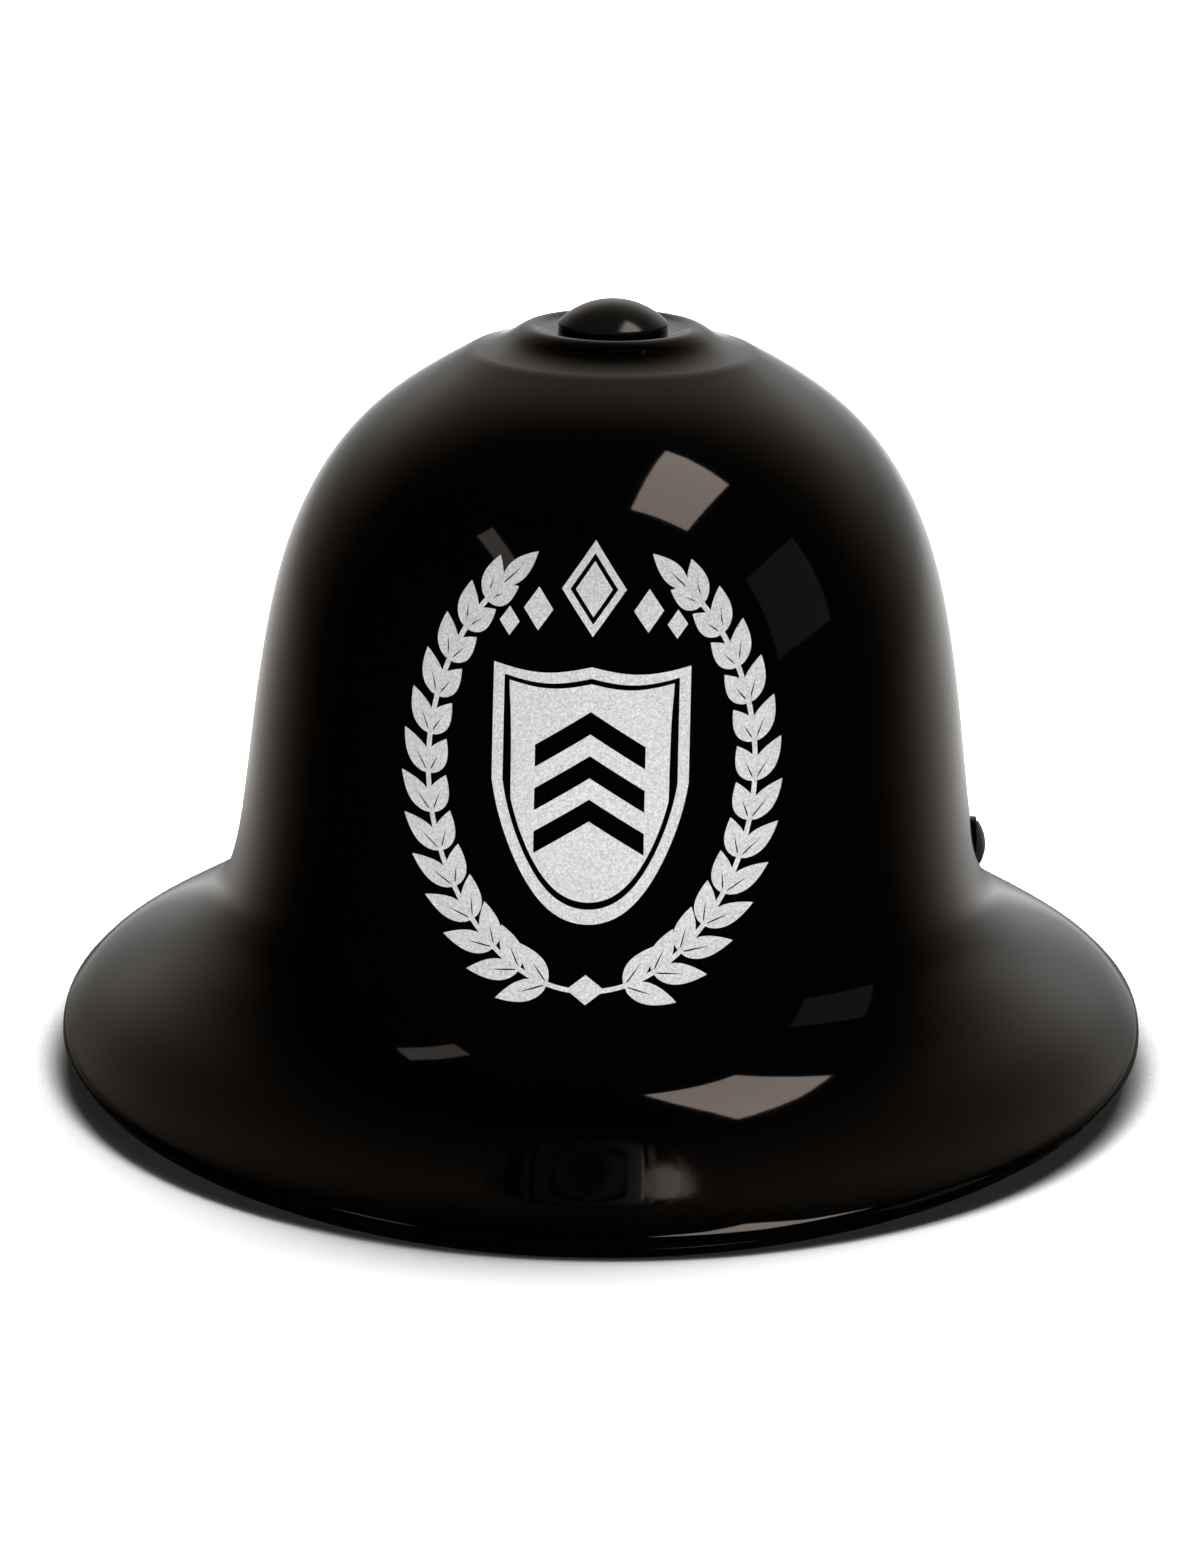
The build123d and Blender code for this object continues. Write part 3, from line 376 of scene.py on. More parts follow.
pockets = new_piece("pockets", pocket_points, pocket_faces, shell_inside, PAD_SHARP_ANGLE)


def round_pad(name, side, radius, near_x, far_x, edge, smooth_angle=None):
    """A short round pad across the rivets' axis, with a small bevel at its outer edge."""
    rings = (
        (near_x, 0.0), (near_x, radius), (far_x - edge, radius), (far_x, radius - edge), (far_x, 0.0))
    turns = [2 * math.pi * i / PAD_POINTS for i in range(PAD_POINTS)]
    points = [
        (side * x, RIVET_Y + r * math.cos(turn), WAIST_HEIGHT + r * math.sin(turn))
        for x, r in rings for turn in turns
    ]
    return new_piece(
        name, points, grid_faces(len(rings), PAD_POINTS, True), shell_gloss, smooth_angle)


left_pad = round_pad(
    "left_pad", 1, PAD_RADIUS, PAD_INNER_X, WAIST_HALF_WIDTH, PAD_BEVEL, PAD_SHARP_ANGLE)
right_pad = round_pad(
    "right_pad", -1, PAD_RADIUS, PAD_INNER_X, WAIST_HALF_WIDTH - RIGHT_PAD_SHORTER, PAD_BEVEL,
    PAD_SHARP_ANGLE)
seat_cutter = round_pad(
    "seat_cutter", 1, PAD_RADIUS + SEAT_CUT_PLAY, WAIST_HALF_WIDTH - SEAT_CUT_DEPTH,
    WAIST_HALF_WIDTH + SEAT_CUT_REACH, SEAT_CUT_BEVEL)
seat_cut = moulded_shell.modifiers.new("seat", "BOOLEAN")
seat_cut.operation = "DIFFERENCE"
seat_cut.solver = "EXACT"
seat_cut.object = seat_cutter


def set_mesh(piece):
    """Makes what a piece's modifiers give its own mesh, and removes them."""
    ready = piece.evaluated_get(bpy.context.evaluated_depsgraph_get())
    mesh = bpy.data.meshes.new_from_object(ready)
    piece.modifiers.clear()
    piece.data = mesh


def join_pieces(main, *others):
    """Joins pieces that are moulded or sewn in one."""
    with bpy.context.temp_override(active_object=main, selected_editable_objects=[main, *others]):
        bpy.ops.object.join()


set_mesh(moulded_shell)
bpy.data.objects.remove(seat_cutter)
join_pieces(moulded_shell, pockets, left_pad, right_pad)
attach(moulded_shell, "shell")
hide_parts("shell")

# On the front is a silver print under the lacquer: a shield with chevrons between two leafy branches.
# It is a thin film that lies on the shell. Glossy rays see its colour painted near black, a painted
# darkening of its reflection in the brim.
PRINT_HEIGHT = 91.0
PRINT_LIFT = 0.12
PRINT_FILM = 0.2
PRINT_STEP = 1.6
PRINT_SHARP_ANGLE = 35
PRINT_SILVER, PRINT_ROUGHNESS, PRINT_METALLIC, PRINT_COAT = (0.6, 0.6, 0.6), 0.42, 0.12, 0.5
# Near black grey that glossy rays see in place of the print's silver: a painted darkening of its
# reflection.
PRINT_PAINTED_DARK_IN_GLOSS = (0.04, 0.04, 0.04, 1)
PRINT_FLAKES = {"Scale": 2600, "Dark": 0.48, "Light": 0.86}
FLAKE_TILT, FLAKE_HEIGHT = 0.25, 0.0001
SHIELD_HALF_WIDTH = 22.5
SHIELD_TOP = 27.0
SHIELD_TOP_SAG, SAG_FADE = 1.6, 20
SHIELD_SHOULDER = 1.0
SHIELD_POINT = -31.0
SHIELD_POINT_SHARE = 1.35
SHIELD_WAIST_SHARE = 0.10
SHIELD_BORDER = 2.5
SHIELD_FIELD = 3.7
SHIELD_TOP_POINTS = 14
SHIELD_WALL_POINTS = 16
SHIELD_SIDE_POINTS = 22
CHEVRON_PEAKS = (17.2, 7.4, -2.4)
CHEVRON_WIDTH = 5.0
CHEVRON_SLOPE = 0.62
CHEVRON_HALF = 12.6
BRANCH_HALF_WIDTH = 37.5
BRANCH_HALF_HEIGHT = 49.0
BRANCH_MIDDLE = 3.0
BRANCH_START = -97
BRANCH_SWEEP = 158
STALK_HALF_WIDTH, STALK_END, STALK_POINTS = 0.55, 0.96, 60
LEAF_PAIRS = 13
LEAF_FIRST, LEAF_STEP, LEAF_LAST = 0.13, 0.066, 0.965
LEAF_LEAN = 36
OUTER_LEAF_LENGTH, INNER_LEAF_LENGTH, TIP_LEAF_LENGTH = 12.6, 10.8, 11.0
LEAF_LENGTH_DROP = 0.22
LEAF_WIDTH, TIP_LEAF_WIDTH = 4.9, 4.3
LEAF_SLIT = 0.22
BORDER_FACES, BAND_FACES, FLANK_FACES, LOZENGE_FACES, LEAF_FACES = 2, 6, 20, 4, 2
BAND_COLUMNS, FLANK_COLUMNS, LEAF_POINTS = 31, 9, 11


def sparkle_group():
    """Fine glitter: a random grey for each flake and a height that tilts it."""
    group = bpy.data.node_groups.new("silver_flakes", "ShaderNodeTree")
    group.interface.new_socket("Vector", in_out="INPUT", socket_type="NodeSocketVector")
    for name in PRINT_FLAKES:
        group.interface.new_socket(name, in_out="INPUT", socket_type="NodeSocketFloat")
    group.interface.new_socket("Color", in_out="OUTPUT", socket_type="NodeSocketColor")
    group.interface.new_socket("Height", in_out="OUTPUT", socket_type="NodeSocketFloat")
    nodes, links = group.nodes, group.links
    start, end = nodes.new("NodeGroupInput"), nodes.new("NodeGroupOutput")
    flakes = nodes.new("ShaderNodeTexVoronoi")
    shade = nodes.new("ShaderNodeMapRange")
    links.new(start.outputs["Vector"], flakes.inputs["Vector"])
    links.new(start.outputs["Scale"], flakes.inputs["Scale"])
    links.new(flakes.outputs["Color"], shade.inputs["Value"])
    links.new(start.outputs["Dark"], shade.inputs["To Min"])
    links.new(start.outputs["Light"], shade.inputs["To Max"])
    links.new(shade.outputs["Result"], end.inputs["Color"])
    links.new(flakes.outputs["Distance"], end.inputs["Height"])
    return group


silver_print, print_shader = new_material(
    "silver_print", PRINT_SILVER, PRINT_ROUGHNESS, PRINT_METALLIC, PRINT_COAT)
print_nodes, print_links = silver_print.node_tree.nodes, silver_print.node_tree.links
print_place = print_nodes.new("ShaderNodeTexCoord")
print_flakes = print_nodes.new("ShaderNodeGroup")
print_flakes.node_tree = sparkle_group()
for socket, value in PRINT_FLAKES.items():
    print_flakes.inputs[socket].default_value = value
print_bump = print_nodes.new("ShaderNodeBump")
print_bump.inputs["Strength"].default_value = FLAKE_TILT
print_bump.inputs["Distance"].default_value = FLAKE_HEIGHT
print_links.new(print_place.outputs["Object"], print_flakes.inputs["Vector"])
# Painted reflection shade: for glossy rays the print's colour is swapped for a near black grey.
print_path = print_nodes.new("ShaderNodeLightPath")
print_painted_dark_reflection = print_nodes.new("ShaderNodeMix")
print_painted_dark_reflection.data_type = "RGBA"
print_painted_dark_reflection.inputs["B"].default_value = PRINT_PAINTED_DARK_IN_GLOSS
print_links.new(print_path.outputs["Is Glossy Ray"], print_painted_dark_reflection.inputs["Factor"])
print_links.new(print_flakes.outputs["Color"], print_painted_dark_reflection.inputs["A"])
print_links.new(print_painted_dark_reflection.outputs["Result"], print_shader.inputs["Base Color"])
print_links.new(print_flakes.outputs["Height"], print_bump.inputs["Height"])
print_links.new(print_bump.outputs["Normal"], print_shader.inputs["Normal"])


def on_front(u, v):
    """A point just off the front of the shell, u to the wearer's left and v above the print's middle."""
    height = PRINT_HEIGHT + v
    half_width, half_length, setback = wall_at(height)
    point = np.array((u, setback - half_length * math.sqrt(1 - (u / half_width) ** 2), height))
    above, below = wall_at(height + 0.5), wall_at(height - 0.5)
    slope = (above[2] - above[1]) - (below[2] - below[1])
    normal = np.array((u / half_width**2, (point[1] - setback) / half_length**2, 0))
    normal /= np.linalg.norm(normal)
    normal[2] = slope * abs(normal[1])
    return point + PRINT_LIFT * normal / np.linalg.norm(normal)


print_points, print_faces = [], []


def print_strip(left, right, across):
    """Adds the strip between two lines to the print, across faces wide."""
    first = len(print_points)
    for a, b in zip(left, right):
        for t in np.linspace(0, 1, across + 1):
            print_points.append(on_front(*(np.array(a) * (1 - t) + np.array(b) * t)))
    print_faces.extend(
        tuple(first + i for i in face) for face in grid_faces(len(left), across + 1, False))


def fine_line(corners, step=PRINT_STEP):
    """A line through corners with points no further apart than step."""
    line = [np.array(corners[0], float)]
    for a, b in zip(corners, corners[1:]):
        a, b = np.array(a, float), np.array(b, float)
        pieces = max(1, math.ceil(np.linalg.norm(b - a) / step))
        line += [a + (b - a) * k / pieces for k in range(1, pieces + 1)]
    return line


def shield_line(inset):
    """One side of a heater shield, from the middle of its top to its point, drawn in by inset."""
    half, top = SHIELD_HALF_WIDTH - inset, SHIELD_TOP - inset
    drop = SHIELD_POINT + SHIELD_POINT_SHARE * inset - SHIELD_SHOULDER
    sag = SHIELD_TOP_SAG * (1 - inset / SAG_FADE)
    counts = (SHIELD_TOP_POINTS, SHIELD_WALL_POINTS, SHIELD_SIDE_POINTS)
    head_steps, wall_steps, side_steps = (np.linspace(0, 1, count) for count in counts)
    head = [(half * t, top - sag * math.sin(math.pi * t)) for t in head_steps]
    wall = [(half, top + (SHIELD_SHOULDER - top) * t) for t in wall_steps[1:]]
    side = []
    for t in side_steps[1:]:
        angle, drawn_in = t * math.pi / 2, 1 - SHIELD_WAIST_SHARE * math.sin(math.pi * t)
        side.append((half * math.cos(angle) * drawn_in, SHIELD_SHOULDER + drop * math.sin(angle)))
    return head + wall + side


for flip in (1, -1):
    border = [[(flip * x, y) for x, y in shield_line(inset)] for inset in (0.0, SHIELD_BORDER)]
    print_strip(*border, BORDER_FACES)
field_line = shield_line(SHIELD_FIELD)
field_top, field_side = field_line[:SHIELD_TOP_POINTS], field_line[SHIELD_TOP_POINTS - 1:]
field_half = field_top[-1][0]


def field_edges(x):
    """Top and bottom of the shield's silver field at a distance from its middle."""
    top = np.interp(abs(x), [p[0] for p in field_top], [p[1] for p in field_top])
    under = field_side[::-1]
    bottom = np.interp(abs(x), [p[0] for p in under], [p[1] for p in under])
    return float(top), float(bottom)


def field_bands(x):
    """The silver stretches of the field at x, from the top down, with the chevrons left out."""
    top, bottom = field_edges(x)
    levels = [top]
    for peak in CHEVRON_PEAKS:
        level = peak - CHEVRON_SLOPE * abs(x)
        levels += [level, level - CHEVRON_WIDTH]
    levels.append(bottom)
    return list(zip(levels[::2], levels[1::2]))


inner_columns = np.linspace(-CHEVRON_HALF, CHEVRON_HALF, BAND_COLUMNS)
for band in range(len(CHEVRON_PEAKS) + 1):
    spans = [field_bands(x)[band] for x in inner_columns]
    print_strip(
        [(x, high) for x, (high, _) in zip(inner_columns, spans)],
        [(x, low) for x, (_, low) in zip(inner_columns, spans)], BAND_FACES)
outer_columns = np.linspace(CHEVRON_HALF, field_half, FLANK_COLUMNS)
for flip in (1, -1):
    print_strip(
        [(flip * x, field_edges(x)[0]) for x in outer_columns],
        [(flip * x, field_edges(x)[1]) for x in outer_columns], FLANK_FACES)


def lozenge(middle, half_width, half_height, share):
    """A lozenge-shaped ring; share 0 fills it."""
    ways = ((1, 0), (0, 1), (-1, 0), (0, -1), (1, 0))
    outer = fine_line([(middle[0] + half_width * x, middle[1] + half_height * y) for x, y in ways])
    inner = [np.array(middle) + (point - np.array(middle)) * share for point in outer]
    print_strip(outer, inner, LOZENGE_FACES)


LOZENGES = (
    ((0, 43.5), 7.4, 10.0, 0.74), ((0, 43.5), 4.2, 5.8, 0.0),
    ((12.6, 39.0), 3.4, 4.6, 0.0), ((19.2, 36.0), 2.3, 3.1, 0.0),
    ((-12.6, 39.0), 3.4, 4.6, 0.0), ((-19.2, 36.0), 2.3, 3.1, 0.0),
    ((0, -45.6), 4.4, 3.4, 0.0),
)
for middle_and_size in LOZENGES:
    lozenge(*middle_and_size)


def leaf(base, way, length, width):
    """A pointed leaf from its base, with a slit for its midrib."""
    forward = np.array((math.cos(way), math.sin(way)))
    side = np.array((-forward[1], forward[0]))
    for flip in (1, -1):
        edge, rib = [], []
        for t in np.linspace(0, 1, LEAF_POINTS):
            bulge = width / 2 * math.sin(math.pi * t**0.8) ** 0.9
            slit = LEAF_SLIT * (1 - t) * math.sin(math.pi * min(1, t * 1.6 + 0.08))
            edge.append(np.array(base) + forward * length * t + side * flip * max(bulge, 0.02))
            rib.append(np.array(base) + forward * length * t + side * flip * max(slit, 0.0))
        print_strip(edge, rib, LEAF_FACES)


def branch_point(turn):
    """A point on a branch, from its stalk at turn 0 to its tip at 1, and the way it grows there."""
    angle = math.radians(BRANCH_START + BRANCH_SWEEP * turn)
    x, y = BRANCH_HALF_WIDTH * math.cos(angle), BRANCH_MIDDLE + BRANCH_HALF_HEIGHT * math.sin(angle)
    way = math.atan2(BRANCH_HALF_HEIGHT * math.cos(angle), -BRANCH_HALF_WIDTH * math.sin(angle))
    return (x, y), way


for flip in (1, -1):
    stem = [branch_point(t) for t in np.linspace(0, STALK_END, STALK_POINTS)]
    rails = []
    for offset in (STALK_HALF_WIDTH, -STALK_HALF_WIDTH):
        rails.append([
            (flip * (p[0] - offset * math.sin(w)), p[1] + offset * math.cos(w)) for p, w in stem
        ])
    print_strip(*rails, 1)
    for number in range(LEAF_PAIRS):
        (x, y), way = branch_point(LEAF_FIRST + LEAF_STEP * number)
        for lean, longest in ((1, INNER_LEAF_LENGTH), (-1, OUTER_LEAF_LENGTH)):
            heading = way + lean * math.radians(LEAF_LEAN - number)
            if flip < 0:
                heading = math.pi - heading
            leaf((flip * x, y), heading, longest - LEAF_LENGTH_DROP * number, LEAF_WIDTH)
    (x, y), way = branch_point(LEAF_LAST)
    leaf((flip * x, y), way if flip > 0 else math.pi - way, TIP_LEAF_LENGTH, TIP_LEAF_WIDTH)
film_mesh = new_piece("front_print", print_points, print_faces, silver_print)
for polygon in film_mesh.data.polygons:
    if polygon.normal.y > 0:
        polygon.flip()
film = film_mesh.modifiers.new("film", "SOLIDIFY")
film.thickness = PRINT_FILM * MM
film.offset = -1
set_mesh(film_mesh)
film_mesh.data.set_sharp_from_angle(angle=math.radians(PRINT_SHARP_ANGLE))
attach(film_mesh, "shell")

# The button is a separate domed plug in gloss plastic, pushed into the dish on the crown. A thin ring of
# spring steel on its stem holds it from inside.
BUTTON_BLACK, BUTTON_ROUGHNESS = (0.006, 0.006, 0.006), 0.16
STEEL_GREY, STEEL_ROUGHNESS = (0.55, 0.55, 0.56), 0.32
button_gloss, _ = new_material("button_gloss", BUTTON_BLACK, BUTTON_ROUGHNESS)


def dress(node, material):
    """Gives a CAD piece its finish."""
    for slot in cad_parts[node].material_slots:
        slot.material = material


dress("top_button", button_gloss)
bare_steel, _ = new_material("bare_steel", STEEL_GREY, STEEL_ROUGHNESS, metallic=1.0)
dress("button_retainer", bare_steel)

# The left rivet's black lacquered head shows outside. The right one is a stud pressed in from inside,
# and the chin strap's ends turn on both shanks over steel washers.
LACQUER_BLACK, LACQUER_ROUGHNESS = (0.02, 0.02, 0.021), 0.28
rivet_black, _ = new_material("rivet_black", LACQUER_BLACK, LACQUER_ROUGHNESS)
dress("left_rivet", rivet_black)
dress("right_rivet", bare_steel)
dress("left_rivet_washer", bare_steel)
dress("right_rivet_washer", bare_steel)

# The headband, its toothed tails and the hangers are moulded in tough satin plastic. The nape adjuster
# and the strap's slider are of a duller plastic, and the chin cup is soft rubber.
HARNESS_BLACK, HARNESS_ROUGHNESS = (0.05, 0.05, 0.053), 0.42
ADJUSTER_BLACK, ADJUSTER_ROUGHNESS = (0.035, 0.035, 0.037), 0.55
RUBBER_BLACK, RUBBER_ROUGHNESS = (0.035, 0.035, 0.036), 0.7
GRAIN_DEPTH = 0.0002
HARNESS_GRAIN = (900, 0.25, GRAIN_DEPTH)
ADJUSTER_GRAIN = (1500, 0.4, GRAIN_DEPTH)
RUBBER_GRAIN = (1100, 0.3, GRAIN_DEPTH)
harness_plastic, harness_shader = new_material("harness_plastic", HARNESS_BLACK, HARNESS_ROUGHNESS)
adjuster_plastic, adjuster_shader = new_material(
    "adjuster_plastic", ADJUSTER_BLACK, ADJUSTER_ROUGHNESS)
cup_rubber, cup_shader = new_material("cup_rubber", RUBBER_BLACK, RUBBER_ROUGHNESS)
add_grain(harness_plastic, harness_shader, *HARNESS_GRAIN)
add_grain(adjuster_plastic, adjuster_shader, *ADJUSTER_GRAIN)
add_grain(cup_rubber, cup_shader, *RUBBER_GRAIN)
for node in ("headband", "left_rack", "right_rack", "left_strap_tab", "right_strap_tab",
             "front_left_hanger", "front_right_hanger", "rear_left_hanger", "rear_right_hanger"):
    dress(node, harness_plastic)
for node in ("adjuster_housing", "adjuster_cover", "adjuster_knob", "ratchet_pinion", "pawl_disc",
             "strap_slider"):
    dress(node, adjuster_plastic)
dress("adjuster_screw", bare_steel)
dress("chin_cup", cup_rubber)

# The chin strap and the two crown straps are flat woven tape with rounded selvedges. The chin strap
# hangs from the rivets, and the crown straps cross under the crown between the hangers.
WAIST_HALF_LENGTH = 0.718 * BRIM_LENGTH / 2
STRAP_HALF_WIDTH = WAIST_HALF_WIDTH - 6.6
STRAP_LENGTH = WAIST_HALF_LENGTH - 4.7
STRAP_TILT = math.radians(20.091)
STRAP_START = 9.0
CROWN_FOOT = KEY_BOTTOM + 4.8
CROWN_HALF_WIDTH = HANGER_REACH - 5.35
CROWN_RISE = DOME_HEIGHT - 24.9 - CROWN_FOOT
CROWN_END_RADIUS = 0.803 * CROWN_HALF_WIDTH
CROWN_DROP = 1.871
CHIN_TAPE_WIDTH, CHIN_TAPE_THICKNESS = 19.0, 1.6
CROWN_TAPE_WIDTH, CROWN_TAPE_THICKNESS = 14.0, 1.2
STRAP_END_SHARE = 0.707
TAPE_STEP, TAPE_SHARP_ANGLE = 2.0, 60
THREAD_GAP, FUZZ_SCALE, FUZZ_DETAIL = 0.16, 2.2, 4
CLOTH_SHEEN, WEAVE_STRENGTH = 0.25, 0.7


def oval_centres(half_width, half_length, end_radius):
    """Centre distances of a four-arc oval's end arcs and side arcs."""
    end_centre, spare = half_length - end_radius, half_width - end_radius
    return end_centre, (end_centre**2 - spare**2) / (2 * spare)


def half_oval(half_width, half_length, end_radius, start, step):
    """Points of the half oval above start, from +X round to -X, each with its way outwards."""
    end_centre, side_centre = oval_centres(half_width, half_length, end_radius)
    side_radius = half_width + side_centre
    turn, first = math.atan2(end_centre, side_centre), math.asin(start / side_radius)
    side_count = math.ceil(side_radius * (turn - first) / step)
    end_count = math.ceil(end_radius * (math.pi - 2 * turn) / step)
    line = [
        (-side_centre + side_radius * math.cos(a), side_radius * math.sin(a), math.cos(a), math.sin(a))
        for a in np.linspace(first, turn, side_count, endpoint=False)
    ]
    other = [(-x, y, -nx, ny) for x, y, nx, ny in line][::-1]
    line += [
        (end_radius * math.cos(a), end_centre + end_radius * math.sin(a), math.cos(a), math.sin(a))
        for a in np.linspace(turn, math.pi - turn, end_count + 1)
    ]
    return np.array(line + other)


def tape_section(width, thickness, flat_points=9, edge_points=5):
    """Outline of a flat tape: (depth from its outer face, place across its width)."""
    half, edge = width / 2, thickness / 2
    across = list(np.linspace(-half + edge, half - edge, flat_points))
    turns = np.linspace(0, math.pi, edge_points + 2)[1:-1]
    outline = [(0.0, s) for s in across]
    outline += [(edge - edge * math.cos(a), half - edge + edge * math.sin(a)) for a in turns]
    outline += [(thickness, s) for s in across[::-1]]
    outline += [(edge + edge * math.cos(a), -half + edge - edge * math.sin(a)) for a in turns]
    return outline


def set_lay(piece, lay):
    """Keeps each point's place along and across the cloth, in millimetres, for its weave."""
    attribute = piece.data.attributes.new("lay", "FLOAT_VECTOR", "POINT")
    attribute.data.foreach_set("vector", np.asarray(lay, float).ravel())


def distances_along(line):
    """How far along a flat line each of its points lies."""
    return np.concatenate(([0], np.cumsum(np.linalg.norm(np.diff(line[:, :2], axis=0), axis=1))))


def tape(name, line, origin, right, upward, width, thickness, material):
    """Tape that follows a flat line; right and upward are the directions of the line's two axes."""
    origin, right, upward = np.array(origin), np.array(right), np.array(upward)
    sideways = np.cross(right, upward)
    section = tape_section(width, thickness)
    along = distances_along(line)
    points, lay = [], []
    for (x, y, nx, ny), distance in zip(line, along):
        for depth, side in section:
            points.append(
                origin + right * (x - depth * nx) + upward * (y - depth * ny) + sideways * side)
            lay.append((distance, side, 0))
    faces = grid_faces(len(line), len(section), True)
    faces += [tuple(range(len(section))), tuple(range(len(points) - len(section), len(points)))]
    piece = new_piece(name, points, faces, material, TAPE_SHARP_ANGLE)
    set_lay(piece, lay)
    return piece


def weave_group():
    """A plain weave: threads over and under in rows, a little fuzz, and painted shade between threads.
    """
    group = bpy.data.node_groups.new("plain_weave", "ShaderNodeTree")
    for name in ("Thread length", "Thread width"):
        group.interface.new_socket(name, in_out="INPUT", socket_type="NodeSocketFloat")
    for name in ("Dark", "Light"):
        group.interface.new_socket(name, in_out="INPUT", socket_type="NodeSocketColor")
    group.interface.new_socket("Color", in_out="OUTPUT", socket_type="NodeSocketColor")
    group.interface.new_socket("Height", in_out="OUTPUT", socket_type="NodeSocketFloat")
    nodes, links = group.nodes, group.links
    start, end = nodes.new("NodeGroupInput"), nodes.new("NodeGroupOutput")
    lay = nodes.new("ShaderNodeAttribute")
    lay.attribute_name = "lay"
    rows = nodes.new("ShaderNodeTexBrick")
    rows.offset = 0.5
    rows.inputs["Scale"].default_value = 1
    rows.inputs["Mortar Size"].default_value = THREAD_GAP
    rows.inputs["Mortar Smooth"].default_value = 1
    fuzz = nodes.new("ShaderNodeTexNoise")
    fuzz.inputs["Scale"].default_value = FUZZ_SCALE
    fuzz.inputs["Detail"].default_value = FUZZ_DETAIL
    relief = nodes.new("ShaderNodeMath")
    relief.operation = "MULTIPLY_ADD"
    relief.inputs[1].default_value = -1
    # Painted shade: the cloth's colour follows the relief, so the gaps between threads go dark; the fuzz
    # adds a random tone.
    shade = nodes.new("ShaderNodeMath")
    shade.operation = "MULTIPLY"
    mix = nodes.new("ShaderNodeMix")
    mix.data_type = "RGBA"
    links.new(lay.outputs["Vector"], rows.inputs["Vector"])
    links.new(lay.outputs["Vector"], fuzz.inputs["Vector"])
    links.new(start.outputs["Thread length"], rows.inputs["Brick Width"])
    links.new(start.outputs["Thread width"], rows.inputs["Row Height"])
    links.new(rows.outputs["Fac"], relief.inputs[0])
    links.new(fuzz.outputs["Fac"], relief.inputs[2])
    links.new(relief.outputs[0], shade.inputs[0])
    links.new(fuzz.outputs["Fac"], shade.inputs[1])
    links.new(shade.outputs[0], mix.inputs["Factor"])
    links.new(start.outputs["Dark"], mix.inputs["A"])
    links.new(start.outputs["Light"], mix.inputs["B"])
    links.new(mix.outputs["Result"], end.inputs["Color"])
    links.new(relief.outputs[0], end.inputs["Height"])
    return group


plain_weave = weave_group()


def woven_material(name, roughness, thread_length, thread_width, dark, light, bump_distance):
    """A cloth whose weave follows the piece's lay."""
    material, shader = new_material(name, light[:3], roughness)
    shader.inputs["Sheen Weight"].default_value = CLOTH_SHEEN
    nodes, links = material.node_tree.nodes, material.node_tree.links
    weave = nodes.new("ShaderNodeGroup")
    weave.node_tree = plain_weave
    weave.inputs["Thread length"].default_value = thread_length
    weave.inputs["Thread width"].default_value = thread_width
    weave.inputs["Dark"].default_value = (*dark, 1)
    weave.inputs["Light"].default_value = (*light, 1)
    bump = nodes.new("ShaderNodeBump")
    bump.inputs["Strength"].default_value = WEAVE_STRENGTH
    bump.inputs["Distance"].default_value = bump_distance
    links.new(weave.outputs["Color"], shader.inputs["Base Color"])
    links.new(weave.outputs["Height"], bump.inputs["Height"])
    links.new(bump.outputs["Normal"], shader.inputs["Normal"])
    return material


webbing = woven_material(
    "webbing", roughness=0.75, thread_length=1.7, thread_width=0.85,
    dark=(0.008, 0.008, 0.009), light=(0.055, 0.055, 0.058), bump_distance=0.0003)
strap_line = half_oval(
    STRAP_HALF_WIDTH, STRAP_LENGTH, STRAP_END_SHARE * STRAP_HALF_WIDTH, STRAP_START, TAPE_STEP)
strap_plane = (
    (0, RIVET_Y, WAIST_HEIGHT), (1, 0, 0), (0, math.cos(STRAP_TILT), -math.sin(STRAP_TILT)))
chin_tape = tape(
    "chin_tape", strap_line, *strap_plane, CHIN_TAPE_WIDTH, CHIN_TAPE_THICKNESS, webbing)
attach(chin_tape, "chin_strap")
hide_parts("chin_strap")
crown_tapes = []
for name, degrees_round, drop in (
    ("crown_strap_upper", HANGER_DIRECTION, 0.0),
    ("crown_strap_lower", 180 - HANGER_DIRECTION, CROWN_DROP),
):
    direction = math.radians(degrees_round)
    crown_line = half_oval(
        CROWN_HALF_WIDTH - drop, CROWN_RISE - drop, CROWN_END_RADIUS - drop, 0.0, TAPE_STEP)
    crown_plane = (
        (0, BAND_SETBACK, CROWN_FOOT), (math.cos(direction), math.sin(direction), 0), (0, 0, 1))
    crown_tapes.append((crown_line, crown_plane))
    crown_tape = tape(
        f"{name}_tape", crown_line, *crown_plane, CROWN_TAPE_WIDTH, CROWN_TAPE_THICKNESS, webbing)
    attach(crown_tape, "shell")
    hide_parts(name)

# Each end of the chin strap is folded back and sewn down with a boxed cross, and each end of the crown
# straps with two rows. The thread is bonded nylon, which lies just proud of the webbing.
THREAD_WIDTH = 0.5
STITCH_LENGTH = 2.0
STITCH_PITCH = 2.5
THREAD_PROUD = 0.1
CROSS_START, CROSS_END, CROSS_HALF = 3, 16, 6.5
CROWN_SEAM_ROWS = (6.0, 9.5)
CROWN_SEAM_HALF = 5
SEAM_STEP = 1.0
THREAD_BLACK, THREAD_ROUGHNESS = (0.07, 0.07, 0.074), 0.5
thread, _ = new_material("sewing_thread", THREAD_BLACK, THREAD_ROUGHNESS)


